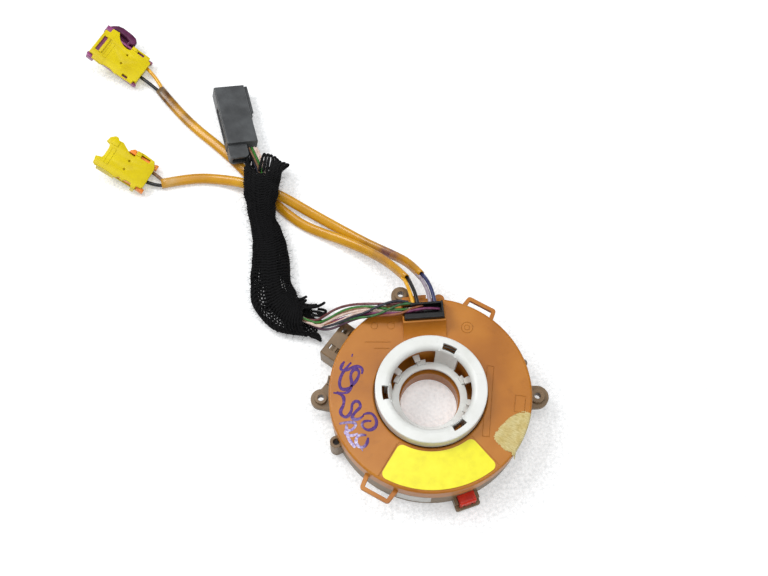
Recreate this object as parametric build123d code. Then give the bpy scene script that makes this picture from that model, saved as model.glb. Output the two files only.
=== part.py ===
from build123d import *
import os
from math import cos, degrees, pi, radians, sin, tan

# Steering clock spring: a fixed base that bolts round the steering column, a cover that
# turns with the wheel, a sprung lock ring in its middle, and a flat cable wound between.
# Millimetres. The origin is on the column's axis, in the base's bottom plane, and +Z
# points at the driver. Angles are degrees, counted from +X towards +Y.

# Cover and its skirt.
cover_radius = 51.0
cover_top = 24.7
cover_plate = 2.0
skirt_wall = 1.6
skirt_bottom = 15.5
rim_round = 1.2
mouth_round = 0.9

# Base.
base_radius = 50.3
base_wall = 2.3
base_floor = 2.0
lip_top = 20.5
collar_wall = 2.1
collar_height = 5.4

# Column bore and the hub that carries it.
bore_radius = 14.75
tube_wall = 2.25
tube_top = 10.0
hub_floor_low = 6.0
hub_floor = 2.0
hub_wall = 1.9

# Lock ring.
ring_radius = 27.9
ring_top = 32.0
ring_plate = 1.5
ring_skirt_wall = 1.4
ring_skirt_drop = 6.3
ring_wall = 1.3
ring_mouth = 20.3
ring_mouth_round = 3.0
ring_edge_round = 0.6
flange_hole = 15.43
flange_radius = 19.1
flange_top = 15.9
flange_thickness = 1.5
ring_travel = 4.0

# What repeats three times round the lock ring.
thirds = 3
pillar_angle = 61.3
pillar_span = 34.0
window_lintel = 2.7
opening_height = 5.1
slot_span = 17.5
slot_inner = 21.3
slot_outer = 24.5
key_offset = 12.0
key_span = 2.8
key_reach = 1.7
post_inset = 26.0
post_span = 3.2
hook_span = 9.0
hook_thickness = 1.2
hook_reach = 2.5
step_span = 13.0
step_height = 1.1

# Hub sleeve, which holds and keys the lock ring.
sleeve_inner = 22.0
sleeve_wall = 1.4
sleeve_short = 0.3
shelf_thickness = 1.5
shelf_drop = 0.7
lintel_gap = 0.3

# Lock spring.
spring_wire = 0.9
spring_radius = 25.2
spring_turns = 2.2

# Flat cable.
cable_thickness = 0.5
cable_height = 12.0
cable_turns = 5
cable_end_gap = 1.0

# Clearances.
skirt_gap = 0.4
ring_gap = 0.4
running_gap = 0.08
floor_gap = 0.6
slide_gap = 0.2
trim_gap = 0.15
table_gap = 0.05

# Ears: radius and angle of the hole, outline, boss, and how far the foot spreads each way.
ear_holes = 1.65
ear_tab_low = 9.6
ear_tab_top = 12.4
ear_top = 14.5
right_ear = dict(radius=55.0, angle=-2.6, outline=5.95, boss=3.7, foot=(6.0, 6.0))
rear_ear = dict(radius=58.8, angle=99.7, outline=4.9, boss=3.2, foot=(5.5, 5.5))
left_ear = dict(radius=55.1, angle=175.4, outline=5.2, boss=3.1, foot=(6.5, 13.0))
post_ear = dict(radius=52.2, angle=-158.7, outline=3.1)

# Small parts on the base's wall.
stub = dict(angle=17.5, width=4.3, reach=4.2, low=5.0, high=13.4)
clip = dict(angle=164.5, width=4.8, reach=2.6, low=4.0, high=13.2)

# Main socket, open outwards.
socket_angle = 139.5
socket_face = 60.0
socket_width = 21.0
socket_offset = 2.2
socket_height = 14.0
socket_wall = 1.4
socket_depth = 8.5
socket_key_spacing = 11.0
socket_key = 2.8
socket_key_shift = -0.6
socket_key_outer = (4.9, 2.1)
socket_key_inner = (7.8, 6.2)
socket_pins = 8
socket_pin_pitch = 2.1
socket_pin_width = 0.8
socket_pin_length = 2.8

# Red lock in its tray.
tray_angle = -75.0
tray_offset = 0.7
tray_face = 56.4
tray_wall = 1.1
tray_floor = 2.0
tray_side_top = 6.4
lock_width = 8.8
lock_face = 55.3
lock_back = 49.3
lock_height = 6.6
lock_tongue = 0.7
lock_tongue_height = 1.4

# Strap loops.
loop_angles = (56.5, 236.5)
loop_reach = 7.1
loop_foot = 9.3
loop_head = 8.0
loop_band = 2.0
loop_thickness = 2.2
loop_lift = 0.2

# Tower and its connector.
tower_width = 21.9
tower_front = 35.0
tower_back = 46.8
tower_lip = 32.2
tower_rear_top = 30.4
tower_side_top = 31.4
tower_side_wall = 0.8
tower_end_wall = 1.1
tower_ramp_start = 26.2
tray_deck = 28.0
tray_base = 1.0
bar_depth = 3.0
bar_top = 34.3
bar_pockets = 12
bar_pocket = 1.0
rail_wall = 1.0
rail_top = 32.6
rail_start = -6.5
side_top = 33.4

# Cover trims.
label_angle = -89.4
label_span = 71.8
label_inner = 30.2
label_outer = 49.3
label_corner = 3.0
label_thickness = 0.3
label_recess = 0.2
label_margin = 0.5
guide_angles = (87.3, 101.0)
guide_reach = 2.0
guide_low = 21.4
guide_high = 23.6
rim_bump = dict(angle=79.8, width=5.8, reach=2.6, low=17.0)
sticker_angle = -104.0
sticker_span = 19.6
sticker_low = 3.0
sticker_high = 12.6
sticker_thickness = 0.2
tape_thickness = 0.3
tape_drop = 5.0
tape_outline = [
    (28.7, -25.9), (31.6, -22.6), (32.4, -21.2), (35.4, -19.0), (39.6, -14.9),
    (45.6, -12.6), (53.0, -15.6), (53.0, -30.0), (40.5, -38.0), (35.2, -33.6)]

# Cords.
sheath_diameter = 4.8
lead_diameter = 1.8
bundle_diameter = 4.6
plug_bundle_diameter = 3.8

# Yellow connector A, which leans on its left side.
a_place = dict(spot=(-154.5, 219.6), yaw=137.5, roll=-26.3, pitch=0.0)
a_length = 35.6
a_width = 16.2
a_waist = 13.2
a_height = 11.0
a_hook_reach = 3.4
bridge_back = 6.4
bridge_front = 4.4
bridge_thickness = 1.4
bow = dict(start=0.5, span=13.0, rise=3.4, foot=1.7, crown=1.3)

# Yellow connector B, which lies flat.
b_place = dict(spot=(-154.4, 147.8), yaw=141.0, roll=0.0, pitch=0.0)
b_length = 32.0
b_width = 17.6
b_waist = 14.4
b_height = 11.0
b_hook_reach = 3.6
b_hook_low = 5.2
keel_back = 4.0
keel_front = 6.0
keel_thickness = 1.2

# What both yellow connectors share.
connector_corner = 1.2
arm_thickness = 1.3
arm_height = 4.6
arm_low = 3.0
arm_travel = 2.0
arm_tail = arm_travel + 2 * slide_gap
tail_hook = 1.2
mouth_depth = 6.0
mouth_wall = 1.8
vent_radius = 1.0

# Black plug, which rests on one of the sheaths.
plug_place = dict(spot=(-94.6, 173.6), yaw=100.4, roll=12.0, pitch=-2.5)
plug_length = 38.0
plug_width = 17.4
plug_height = 9.0
plug_ridge = 1.9
plug_ridge_length = 18.0
plug_rear_length = 8.5
plug_rear_width = 11.0
plug_rear_drop = 2.0

hub_inner = ring_radius + ring_gap
hub_outer = hub_inner + hub_wall
tube_radius = bore_radius + tube_wall
sleeve_outer = sleeve_inner + sleeve_wall
ring_underside = ring_top - ring_plate
ring_skirt_low = ring_underside - ring_skirt_drop
shelf_top = ring_skirt_low - ring_travel - shelf_drop
sleeve_top = ring_underside - ring_travel - sleeve_short
lintel_low = flange_top + opening_height
window_span = 360 / thirds - pillar_span
wall_inner = base_radius - base_wall
skirt_inner = cover_radius - skirt_wall
deck_front = tower_front + tower_end_wall + trim_gap
deck_back = tower_back - tower_end_wall - trim_gap
deck_side = tower_width / 2 - tower_side_wall - trim_gap


def sector(inner, outer, start, end, low, high):
    """A block of a ring between two radii, two angles and two heights."""
    far = CenterArc((0, 0), outer, start, end - start)
    near = CenterArc((0, 0), inner, start, end - start)
    face = make_face([far, Line(far @ 1, near @ 1), near, Line(near @ 0, far @ 0)])
    return Pos(0, 0, low) * extrude(face, high - low)


def block(x0, x1, y0, y1, z0, z1):
    """A box between two corners."""
    return Pos((x0 + x1) / 2, (y0 + y1) / 2, (z0 + z1) / 2) * Box(x1 - x0, y1 - y0, z1 - z0)


def prism(points, low, high):
    """An outline of straight lines, made solid between two heights."""
    return Pos(0, 0, low) * extrude(make_face(Polyline(*points, close=True)), high - low)


def round_about(shape):
    """Copies of one shape, evenly round the axis."""
    return [Rot(0, 0, 360 / thirds * k) * shape for k in range(thirds)]


def facing(angle):
    """A frame whose x points outwards at this angle."""
    return Rot(0, 0, angle)


def ear(radius, angle, outline, boss, foot):
    """A screw ear: a tab that widens into the wall, with a raised boss round its hole."""
    spread_left, spread_right = foot
    root = base_radius - base_wall / 2
    web = [(root, spread_left), (radius, outline), (radius, -outline), (root, -spread_right)]
    tab = prism(web, ear_tab_low, ear_tab_top)
    tab += Pos(radius, 0, ear_tab_low) * extrude(Circle(outline), ear_tab_top - ear_tab_low)
    tab += Pos(radius, 0, ear_tab_low) * extrude(Circle(boss), ear_top - ear_tab_low)
    return facing(angle) * tab


def ear_hole(radius, angle, low):
    x, y = radius * cos(radians(angle)), radius * sin(radians(angle))
    return Pos(x, y, low) * extrude(Circle(ear_holes), ear_top - low + 1)


def base_housing():
    """The fixed base: floor, wall, lip under the cover, ears, main socket and lock tray."""
    lip_outer = skirt_inner - skirt_gap
    ledge = skirt_bottom - skirt_gap
    bore = tube_radius + running_gap
    collar = bore + collar_wall
    outline = Polyline(
        (bore, 0), (base_radius, 0), (base_radius, ledge), (lip_outer, ledge),
        (lip_outer, lip_top), (wall_inner, lip_top), (wall_inner, base_floor),
        (collar, base_floor), (collar, collar_height), (bore, collar_height), close=True)
    body = revolve(Plane.XZ * make_face(outline), Axis.Z)
    outside = ear(**right_ear) + ear(**rear_ear) + ear(**left_ear)
    x = post_ear["radius"]
    outside += facing(post_ear["angle"]) * (
        Pos(x, 0, 0) * extrude(Circle(post_ear["outline"]), ear_top)
        + block(base_radius - 1, x, -post_ear["outline"], post_ear["outline"], 0, ledge - 2))
    outside += facing(stub["angle"]) * wall_stub()
    outside += facing(clip["angle"]) * wall_clip()
    outside += facing(socket_angle) * socket_block()
    outside += facing(tray_angle) * tray_block()
    chamber = Pos(0, 0, base_floor) * extrude(Circle(wall_inner), lip_top)
    body += outside - chamber
    body -= facing(socket_angle) * socket_space()
    body -= facing(tray_angle) * tray_space()
    for hole in (right_ear, rear_ear, left_ear):
        body -= ear_hole(hole["radius"], hole["angle"], ear_tab_low - 1)
    body -= ear_hole(post_ear["radius"], post_ear["angle"], -1)
    return body


def wall_stub():
    """A half-round stub that stands off the wall."""
    half = stub["width"] / 2
    tip = base_radius + stub["reach"] - half
    height = stub["high"] - stub["low"]
    root = block(base_radius - 1, tip, -half, half, stub["low"], stub["high"])
    return root + Pos(tip, 0, stub["low"]) * extrude(Circle(half), height)


def wall_clip():
    """A small hollow tab on the wall."""
    half = clip["width"] / 2
    face = base_radius + clip["reach"]
    tab = block(base_radius - 1, face, -half, half, clip["low"], clip["high"])
    hollow = block(base_radius, face - 0.8, -half + 0.9, half - 0.9, clip["high"] - 5, clip["high"] + 1)
    return tab - hollow


def socket_sides():
    """The main socket's two sides, across its mouth."""
    return socket_offset - socket_width / 2, socket_offset + socket_width / 2


def socket_block():
    right, left = socket_sides()
    shell = block(wall_inner - 2, socket_face, right, left, 0, socket_height)
    return fillet(shell.edges().filter_by(Axis.X), 0.8)


def socket_space():
    """The socket's hollow, with two pairs of key windows through its roof and floor."""
    right, left = socket_sides()
    back = socket_face - socket_depth
    low, high = socket_wall, socket_height - socket_wall
    space = block(back, socket_face + 1, right + socket_wall, left - socket_wall, low, high)
    for side in (-1, 1):
        middle = socket_offset + socket_key_shift + side * socket_key_spacing / 2
        for deep, shallow in (socket_key_outer, socket_key_inner):
            space += block(socket_face - deep, socket_face - shallow, middle - socket_key / 2,
                           middle + socket_key / 2, high - 1, socket_height + 1)
    return space


def main_socket_pins():
    """One row of flat pins that stand out of the socket's back wall."""
    back = socket_face - socket_depth
    middle = socket_height / 2
    pins = []
    for number in range(socket_pins):
        y = socket_offset + (number - (socket_pins - 1) / 2) * socket_pin_pitch
        half = socket_pin_width / 2
        pins.append(facing(socket_angle) * block(
            back, back + socket_pin_length, y - half, y + half, middle - 0.4, middle + 0.4))
    return Compound(children=[pin.solid() for pin in pins])


def tray_half():
    return lock_width / 2 + slide_gap + lock_tongue + tray_wall


def tray_block():
    """The small tray that the red lock slides in."""
    half = tray_half()
    low, high = tray_offset - half, tray_offset + half
    floor = block(base_radius - 1, tray_face, low, high, 0, tray_floor)
    floor = fillet(floor.edges().filter_by(Axis.Z).sort_by(Axis.X)[-2:], 1.0)
    sides = block(base_radius - 2, base_radius + 3.4, low, high, 0, tray_side_top)
    return floor + sides


def tray_space():
    """Room for the lock, and the two grooves that guide its tongues."""
    half = lock_width / 2 + slide_gap
    back = lock_back - slide_gap
    low = tray_floor
    room = block(back, tray_face + 1, tray_offset - half, tray_offset + half, low, low + lock_height + 0.6)
    wide = half + lock_tongue
    groove_top = low + lock_tongue_height + 2 * slide_gap
    room += block(back, tray_face + 1, tray_offset - wide, tray_offset + wide, low, groove_top)
    return room


def red_lock():
    """The red lock: a block with a tongue each side, a finger ledge and two relief slots."""
    half = lock_width / 2
    low = tray_floor + slide_gap
    high = tray_floor + lock_height
    body = block(lock_back, lock_face, tray_offset - half, tray_offset + half, low, high)
    body = fillet(body.edges().filter_by(Axis.Y).sort_by(Axis.Z)[-2:].sort_by(Axis.X)[-1], 1.6)
    body = fillet(body.edges().filter_by(Axis.X).sort_by(Axis.Z)[-2:], 0.6)
    wide = half + lock_tongue - slide_gap / 2
    body += block(lock_back, lock_face - 2.5, tray_offset - wide, tray_offset + wide,
                  low, low + lock_tongue_height)
    for side in (-1, 1):
        y = tray_offset + side * lock_width * 0.25
        body -= block(lock_face - 3.2, lock_face + 1, y - 0.5, y + 0.5, low - 1, low + 2.6)
    return facing(tray_angle) * body


def rotor_cover():
    """The turning moulding: plate, skirt, hub, column tube, ring sleeve, tower and loops."""
    plate_low = cover_top - cover_plate
    shell = Polyline(
        (hub_inner, base_floor + floor_gap), (hub_outer, base_floor + floor_gap),
        (hub_outer, plate_low), (skirt_inner, plate_low), (skirt_inner, skirt_bottom),
        (cover_radius, skirt_bottom), (cover_radius, cover_top), (hub_inner, cover_top), close=True)
    body = revolve(Plane.XZ * make_face(shell), Axis.Z)
    top_rings = body.edges().filter_by(GeomType.CIRCLE).group_by(Axis.Z)[-1].sort_by(SortBy.RADIUS)
    body = fillet(top_rings[-1], rim_round)
    top_rings = body.edges().filter_by(GeomType.CIRCLE).group_by(Axis.Z)[-1].sort_by(SortBy.RADIUS)
    body = fillet(top_rings[0], mouth_round)
    body += tower() + rim_trims()
    mouth = Pos(0, 0, cover_top - 1) * extrude(Circle(hub_inner + mouth_round / 2), tower_lip)
    body -= mouth - Pos(0, 0, cover_top - 2) * extrude(Circle(hub_inner), 1)
    body += hub_inside()
    for angle in loop_angles:
        body += facing(angle) * strap_loop()
    margin = degrees(label_margin / label_inner)
    start = label_angle - label_span / 2 - margin
    body -= sector(label_inner - label_margin, label_outer + label_margin / 2, start,
                   start + label_span + 2 * margin, cover_top - label_recess, cover_top + 1)
    return body


def hub_inside():
    """Column tube, hub floor, shelf for the spring and the sleeve with its openings."""
    hub_floor_top = hub_floor_low + hub_floor
    tube = Polyline(
        (bore_radius, 0), (tube_radius, 0), (tube_radius, hub_floor_low),
        (hub_outer - hub_wall / 2, hub_floor_low), (hub_outer - hub_wall / 2, hub_floor_top),
        (tube_radius, hub_floor_top), (tube_radius, tube_top), (bore_radius, tube_top), close=True)
    shelf = Polyline(
        (sleeve_inner, hub_floor_low + hub_floor / 2), (sleeve_outer, hub_floor_low + hub_floor / 2),
        (sleeve_outer, shelf_top - shelf_thickness),
        (hub_outer - hub_wall / 2, shelf_top - shelf_thickness),
        (hub_outer - hub_wall / 2, shelf_top), (sleeve_outer, shelf_top),
        (sleeve_outer, sleeve_top), (sleeve_inner, sleeve_top), close=True)
    body = revolve(Plane.XZ * make_face(tube), Axis.Z)
    sleeve = revolve(Plane.XZ * make_face(shelf), Axis.Z)
    key_half = key_offset + key_span / 2 + degrees(slide_gap * 1.5 / sleeve_inner)
    key_gap = sector(sleeve_inner - 1, sleeve_outer, pillar_angle - key_half, pillar_angle + key_half,
                     hub_floor_top, sleeve_top + 1)
    first = pillar_angle + pillar_span / 2 + post_inset
    last = first + window_span - 2 * post_inset
    room = hook_span / 2 + degrees(slide_gap * 2 / sleeve_inner)
    opening = sector(sleeve_inner - 1, sleeve_outer, first - room, last + room, hub_floor_top, lintel_low)
    for cut in round_about(key_gap) + round_about(opening):
        sleeve -= cut
    return body + sleeve


def strap_loop():
    """A flat wire-like loop, wider at its foot, that stands out of the skirt."""
    root = cover_radius - skirt_wall * 0.7
    face = cover_radius + loop_reach
    low = skirt_bottom + loop_lift
    outer = [(root, -loop_foot), (face, -loop_head), (face, loop_head), (root, loop_foot)]
    inner_foot, inner_head = loop_foot - loop_band, loop_head - loop_band * 0.9
    inner = [(root - 3, -inner_foot), (face - loop_band, -inner_head),
             (face - loop_band, inner_head), (root - 3, inner_foot)]
    band = prism(outer, low, low + loop_thickness)
    band = fillet(band.edges().filter_by(Axis.Z).sort_by(Axis.X)[-2:], 1.8)
    return band - prism(inner, low - 1, low + loop_thickness + 1)


def tower():
    """The raised housing for the wiring, with a hollow ramp down to the cover's mouth."""
    ramp = TangentArc((tower_ramp_start, cover_top), (tower_front, tower_lip - 0.7), tangent=(1, 0))
    walls = Polyline(
        ramp @ 1, (tower_front, tower_lip), (tower_front + tower_end_wall, tower_lip),
        (tower_front + tower_end_wall, tower_side_top), (tower_back, tower_rear_top),
        (tower_back + 1.0, cover_top - 1), (tower_ramp_start, cover_top - 1), ramp @ 0)
    body = extrude(Plane.YZ * make_face([ramp, *walls.edges()]), tower_width / 2, both=True)
    half = tower_width / 2 - tower_side_wall
    front, back = tower_front + tower_end_wall, tower_back - tower_end_wall
    body -= block(-half, half, front, back, tray_deck - tray_base - 1.0, tower_lip + 5)
    body -= block(-tower_width, -half + 1, front + bar_depth, back, tray_deck, tower_lip + 5)
    return body


def rim_trims():
    """The wire guide shelf behind the tower and the rounded bump beside it."""
    start, end = guide_angles
    shelf = sector(cover_radius - skirt_wall, cover_radius + guide_reach, start, end, guide_low, guide_high)
    half = rim_bump["width"] / 2
    tip = cover_radius + rim_bump["reach"] - half
    high = cover_top - rim_round
    bump = block(cover_radius - skirt_wall, tip, -half, half, rim_bump["low"], high)
    bump += Pos(tip, 0, rim_bump["low"]) * extrude(Circle(half), high - rim_bump["low"])
    bump -= extrude(Circle(cover_radius - skirt_wall / 2), cover_top)
    return shelf + facing(rim_bump["angle"]) * bump


def tower_connector():
    """The black connector in the tower: a tray with a tall front bar and a row of wire pockets."""
    low = tray_deck - tray_base
    body = block(-deck_side, deck_side, deck_front, deck_back, low - trim_gap, tray_deck)
    body += block(-deck_side, deck_side, deck_front, deck_front + bar_depth, low, bar_top)
    body += block(deck_side - rail_wall, deck_side, deck_front, deck_back, low, side_top)
    body += block(rail_start, deck_side, deck_back - rail_wall, deck_back, low, rail_top)
    body = fillet(body.edges().filter_by(Axis.X).group_by(Axis.Z)[-1], 0.5)
    pitch = (2 * deck_side - 2 * rail_wall) / bar_pockets
    face = deck_front + bar_depth
    for number in range(bar_pockets):
        x = -deck_side + rail_wall / 2 + (number + 0.5) * pitch
        body -= block(x - bar_pocket / 2, x + bar_pocket / 2, face - 1.0, face + 0.2,
                      bar_top - 2.4, bar_top - 1.2)
    return body


def lock_ring():
    """The white ring: top plate, skirt, three pillars, inner flange, hooked posts and keys."""
    foot = flange_radius + ring_wall
    mouth = ring_mouth + ring_wall
    flange_low = flange_top - flange_thickness
    edge = CenterArc((ring_radius - ring_edge_round, ring_top - ring_edge_round), ring_edge_round, 0, 90)
    throat = CenterArc((ring_mouth + ring_mouth_round, ring_top - ring_mouth_round),
                       ring_mouth_round, 90, 90)
    top = Line(edge @ 1, throat @ 0)
    rest = Polyline(
        throat @ 1, (flange_radius, flange_top), (flange_hole, flange_top), (flange_hole, flange_low),
        (foot, flange_low), (mouth, ring_underside), (ring_radius - ring_skirt_wall, ring_underside),
        (ring_radius - ring_skirt_wall, ring_skirt_low), (ring_radius, ring_skirt_low), edge @ 0)
    body = revolve(Plane.XZ * make_face([edge, top, throat, *rest.edges()]), Axis.Z)
    window_top = ring_top - window_lintel
    start = pillar_angle + pillar_span / 2
    window = sector(flange_hole + 1, mouth + 0.4, start, start + window_span, flange_top, window_top)
    window += sector(flange_radius - 0.1, mouth + 0.4, start, start + window_span,
                     flange_low - 1, flange_top + 1)
    slot = sector(slot_inner, slot_outer, pillar_angle - slot_span / 2, pillar_angle + slot_span / 2,
                  ring_underside - 0.3, ring_top + 1)
    for cut in round_about(window) + round_about(slot):
        body -= cut
    for part in round_about(window_parts(start)) + round_about(pillar_keys()):
        body += part
    return body


def window_parts(start):
    """In each window: two raised steps on the flange, and two posts with hooked heads."""
    flange_low = flange_top - flange_thickness
    head_top = lintel_low - lintel_gap
    outer = flange_radius + ring_wall
    parts = []
    for turn in (post_inset, window_span - post_inset):
        middle = start + turn
        inward = 1 if turn > window_span / 2 else -1
        near, far = sorted((middle, middle + inward * step_span))
        parts.append(sector(flange_radius - 1.4, outer - 0.2, near, far,
                            flange_low, flange_top + step_height))
        parts.append(sector(flange_radius - 0.4, outer, middle - post_span / 2, middle + post_span / 2,
                            flange_low, head_top))
        parts.append(sector(flange_radius - 0.4, outer + hook_reach, middle - hook_span / 2,
                            middle + hook_span / 2, head_top - hook_thickness, head_top))
    return parts[0] + parts[1] + parts[2] + parts[3] + parts[4] + parts[5]


def pillar_keys():
    """Two ribs on each pillar's back, which run in the sleeve's gaps and turn the ring."""
    keys = []
    for side in (-1, 1):
        middle = pillar_angle + side * key_offset
        keys.append(sector(ring_mouth + 0.1, ring_mouth + ring_wall + key_reach, middle - key_span / 2,
                           middle + key_span / 2, flange_top + 0.4, ring_underside + 0.2))
    return keys[0] + keys[1]


def lock_spring():
    """The coil between the hub's shelf and the ring's underside."""
    height = ring_underside - shelf_top - spring_wire
    coil = Helix(pitch=height / spring_turns, height=height, radius=spring_radius)
    section = Plane(origin=coil @ 0, z_dir=coil % 0) * Circle(spring_wire / 2)
    return Pos(0, 0, shelf_top + spring_wire / 2) * sweep(section, path=coil)


def flat_cable():
    """The flat cable, wound in half turns that widen from the hub to the wall."""
    first = hub_outer + cable_end_gap
    step = (wall_inner - cable_end_gap - cable_thickness - first) / cable_turns
    inner, outer = [], []
    for half_turn in range(2 * cable_turns):
        start = 180 * (half_turn % 2)
        centre = (step / 2 * (half_turn % 2), 0)
        radius = first + half_turn * step / 2
        inner.append(CenterArc(centre, radius, start, 180))
        outer.append(CenterArc(centre, radius + cable_thickness, start, 180))
    ends = [Line(inner[0] @ 0, outer[0] @ 0), Line(inner[-1] @ 1, outer[-1] @ 1)]
    low = base_floor + (cover_top - cover_plate - base_floor - cable_height) / 2
    return Pos(0, 0, low) * extrude(make_face([*inner, *outer, *ends]), cable_height)


def yellow_label():
    """The label in its recess: part of a ring with rounded corners."""
    low = cover_top - label_recess
    start = label_angle - label_span / 2
    plate = sector(label_inner, label_outer, start, start + label_span, low, low + label_thickness)
    return fillet(plate.edges().filter_by(Axis.Z), label_corner)


def side_sticker():
    """A pale sticker bent round the base's wall."""
    start = sticker_angle - sticker_span / 2
    return sector(base_radius, base_radius + sticker_thickness, start, start + sticker_span,
                  sticker_low, sticker_high)


def tape_remnant():
    """A torn piece of masking tape on the cover's top, folded down over the rim."""
    sheet = prism(tape_outline, cover_top - tape_drop, cover_top + tape_thickness)
    bend = (cover_radius - rim_round, cover_top - rim_round)
    under = CenterArc(bend, rim_round, 0, 90)
    over = CenterArc(bend, rim_round + tape_thickness, 0, 90)
    low = cover_top - tape_drop
    ends = Polyline(under @ 0, (cover_radius, low), (cover_radius + tape_thickness, low), over @ 0)
    flat = Polyline(over @ 1, (label_inner, cover_top + tape_thickness), (label_inner, cover_top), under @ 1)
    return sheet & revolve(Plane.XZ * make_face([under, *ends.edges(), over, *flat.edges()]), Axis.Z)


def cord(name, points, diameter):
    """A round tube along straight runs, joined by arcs as large as the runs allow."""
    spots = [Vector(*point) for point in points]
    runs = [b - a for a, b in zip(spots, spots[1:])]
    radii = []
    for before, after in zip(runs, runs[1:]):
        half_turn = radians(before.get_angle(after)) / 2
        radii.append(0.45 * min(before.length, after.length) / tan(half_turn))
    path = FilletPolyline(*spots, radius=radii)
    section = Plane(origin=path @ 0, z_dir=path % 0) * Circle(diameter / 2)
    tube = sweep(section, path=path)
    share = tube.volume / (pi * diameter ** 2 / 4 * path.length)
    print(name, "radii", [round(radius, 1) for radius in radii], "length", round(path.length, 1),
          "volume share", round(share, 4))
    return tube


sheath_a_route = [
    (-6.7, 62.1, 24.6), (-13.0, 73.0, 18.4), (-23.8, 84.6, 11.2), (-37.2, 94.6, 6.2),
    (-52.0, 102.7, 3.4), (-61.6, 108.9, 2.5), (-74.0, 121.5, 2.4), (-92.2, 146.2, 2.4),
    (-103.6, 159.2, 2.4), (-116.1, 171.6, 2.4), (-127.3, 185.3, 2.4), (-136.3, 198.7, 2.7)]
sheath_b_route = [
    (1.0, 63.5, 24.6), (-3.6, 73.0, 19.0), (-11.8, 81.2, 13.0), (-25.0, 91.2, 7.6),
    (-40.0, 103.2, 4.2), (-55.5, 114.2, 4.2), (-71.5, 124.4, 8.1), (-88.0, 132.2, 7.6),
    (-103.0, 138.4, 2.9), (-119.5, 140.6, 2.5), (-135.9, 138.0, 2.6)]
lead_routes = {
    "lead_a_yellow": [(-5.2, 45.6, 31.5), (-5.6, 50.0, 31.4), (-6.9, 56.8, 28.6), (-8.0, 62.4, 24.2)],
    "lead_a_black": [(-2.9, 45.6, 31.5), (-3.2, 50.2, 31.3), (-4.7, 57.2, 28.0), (-6.3, 63.4, 24.2)],
    "lead_b_grey": [(3.6, 45.6, 31.5), (3.4, 50.4, 31.4), (1.7, 57.8, 28.4), (-0.3, 63.9, 24.1)],
    "lead_b_navy": [(5.9, 45.6, 31.5), (5.6, 50.6, 31.5), (3.8, 58.4, 28.8), (1.5, 64.7, 24.1)],
    "lead_a_amber": [(-134.9, 198.4, 3.0), (-137.3, 202.6, 6.8), (-141.8, 208.6, 10.0)],
    "lead_a_dark": [(-136.6, 197.3, 2.6), (-139.9, 200.0, 5.0), (-145.7, 204.3, 7.1)],
    "lead_b_brown": [(-134.6, 139.0, 2.8), (-137.2, 139.0, 4.6), (-140.5, 141.1, 5.5)],
    "lead_b_dark": [(-134.9, 137.0, 2.4), (-139.4, 134.6, 4.4), (-145.0, 135.6, 5.5)]}
bundle_route = [
    (-56.0, 50.0, 5.0), (-49.6, 48.2, 10.6), (-43.4, 48.0, 19.4), (-34.0, 48.6, 27.6),
    (-22.0, 46.2, 31.6), (-9.6, 42.3, 31.2), (-0.8, 41.5, 30.4), (8.6, 41.7, 30.3)]
plug_bundle_route = [
    (-86.1, 156.9, 7.3), (-83.4, 149.9, 7.8), (-79.3, 144.0, 8.9)]


def knit_sleeve():
    """The knitted sleeve: a flattened sock round the wiring, humped over both sheaths."""
    rings = [
        ((-77.4, 146.2, 8.4), (-0.25, -1.0, 0.20), 19.0, 9.0),
        ((-79.9, 138.4, 11.2), (-0.12, -1.0, 0.35), 19.4, 8.0),
        ((-80.9, 129.5, 14.6), (0.0, -1.0, 0.0), 18.4, 8.0),
        ((-80.7, 119.0, 12.0), (0.0, -1.0, -0.45), 15.0, 8.2),
        ((-80.4, 108.0, 6.4), (0.02, -1.0, -0.2), 13.4, 9.6),
        ((-78.8, 94.0, 5.0), (0.04, -1.0, 0.0), 17.0, 9.0),
        ((-78.6, 79.0, 5.0), (-0.04, -1.0, 0.0), 21.0, 9.0),
        ((-77.2, 65.5, 5.0), (0.35, -1.0, 0.0), 22.5, 9.0),
        ((-69.6, 54.6, 5.0), (1.0, -0.75, 0.0), 21.0, 9.0),
        ((-60.6, 50.8, 5.0), (1.0, -0.10, 0.0), 16.5, 8.6),
        ((-53.6, 49.6, 5.2), (1.0, -0.10, 0.1), 15.0, 8.0)]
    sections = []
    for spot, heading, width, height in rings:
        ahead = Vector(*heading).normalized()
        across = ahead.cross(Vector(0, 0, 1)).normalized()
        sections.append(Plane(origin=spot, x_dir=across, z_dir=ahead) * Ellipse(width / 2, height / 2))
    return loft(sections)


def laid(place, half_length, half_width):
    """The frame of a piece that lies on the table: x forward, y left, origin under its middle."""
    yaw, roll, pitch = (radians(place[key]) for key in ("yaw", "roll", "pitch"))
    ahead = Vector(cos(yaw) * cos(pitch), sin(yaw) * cos(pitch), sin(pitch))
    level = Vector(-sin(yaw), cos(yaw), 0)
    left = level * cos(roll) + ahead.cross(level) * sin(roll)
    height = half_width * abs(sin(roll)) + half_length * abs(sin(pitch)) + table_gap
    return Plane(origin=(*place["spot"], height), x_dir=ahead, z_dir=ahead.cross(left)).location


def waisted(length, width, waist, height):
    """A connector's outline with hollow flanks, made solid."""
    end, half, narrow = length / 2, width / 2, waist / 2
    flank = length * 0.2
    left = ThreePointArc((-flank, half), (0, narrow), (flank, half))
    right = ThreePointArc((flank, -half), (0, -narrow), (-flank, -half))
    front = Polyline(left @ 1, (end, half), (end, -half), right @ 0)
    back = Polyline(right @ 1, (-end, -half), (-end, half), left @ 0)
    body = extrude(make_face([left, *front.edges(), right, *back.edges()]), height)
    body = fillet(body.edges().filter_by(Axis.Z), connector_corner)
    return fillet(body.faces().sort_by(Axis.Z)[-1].edges(), 0.5)


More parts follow.
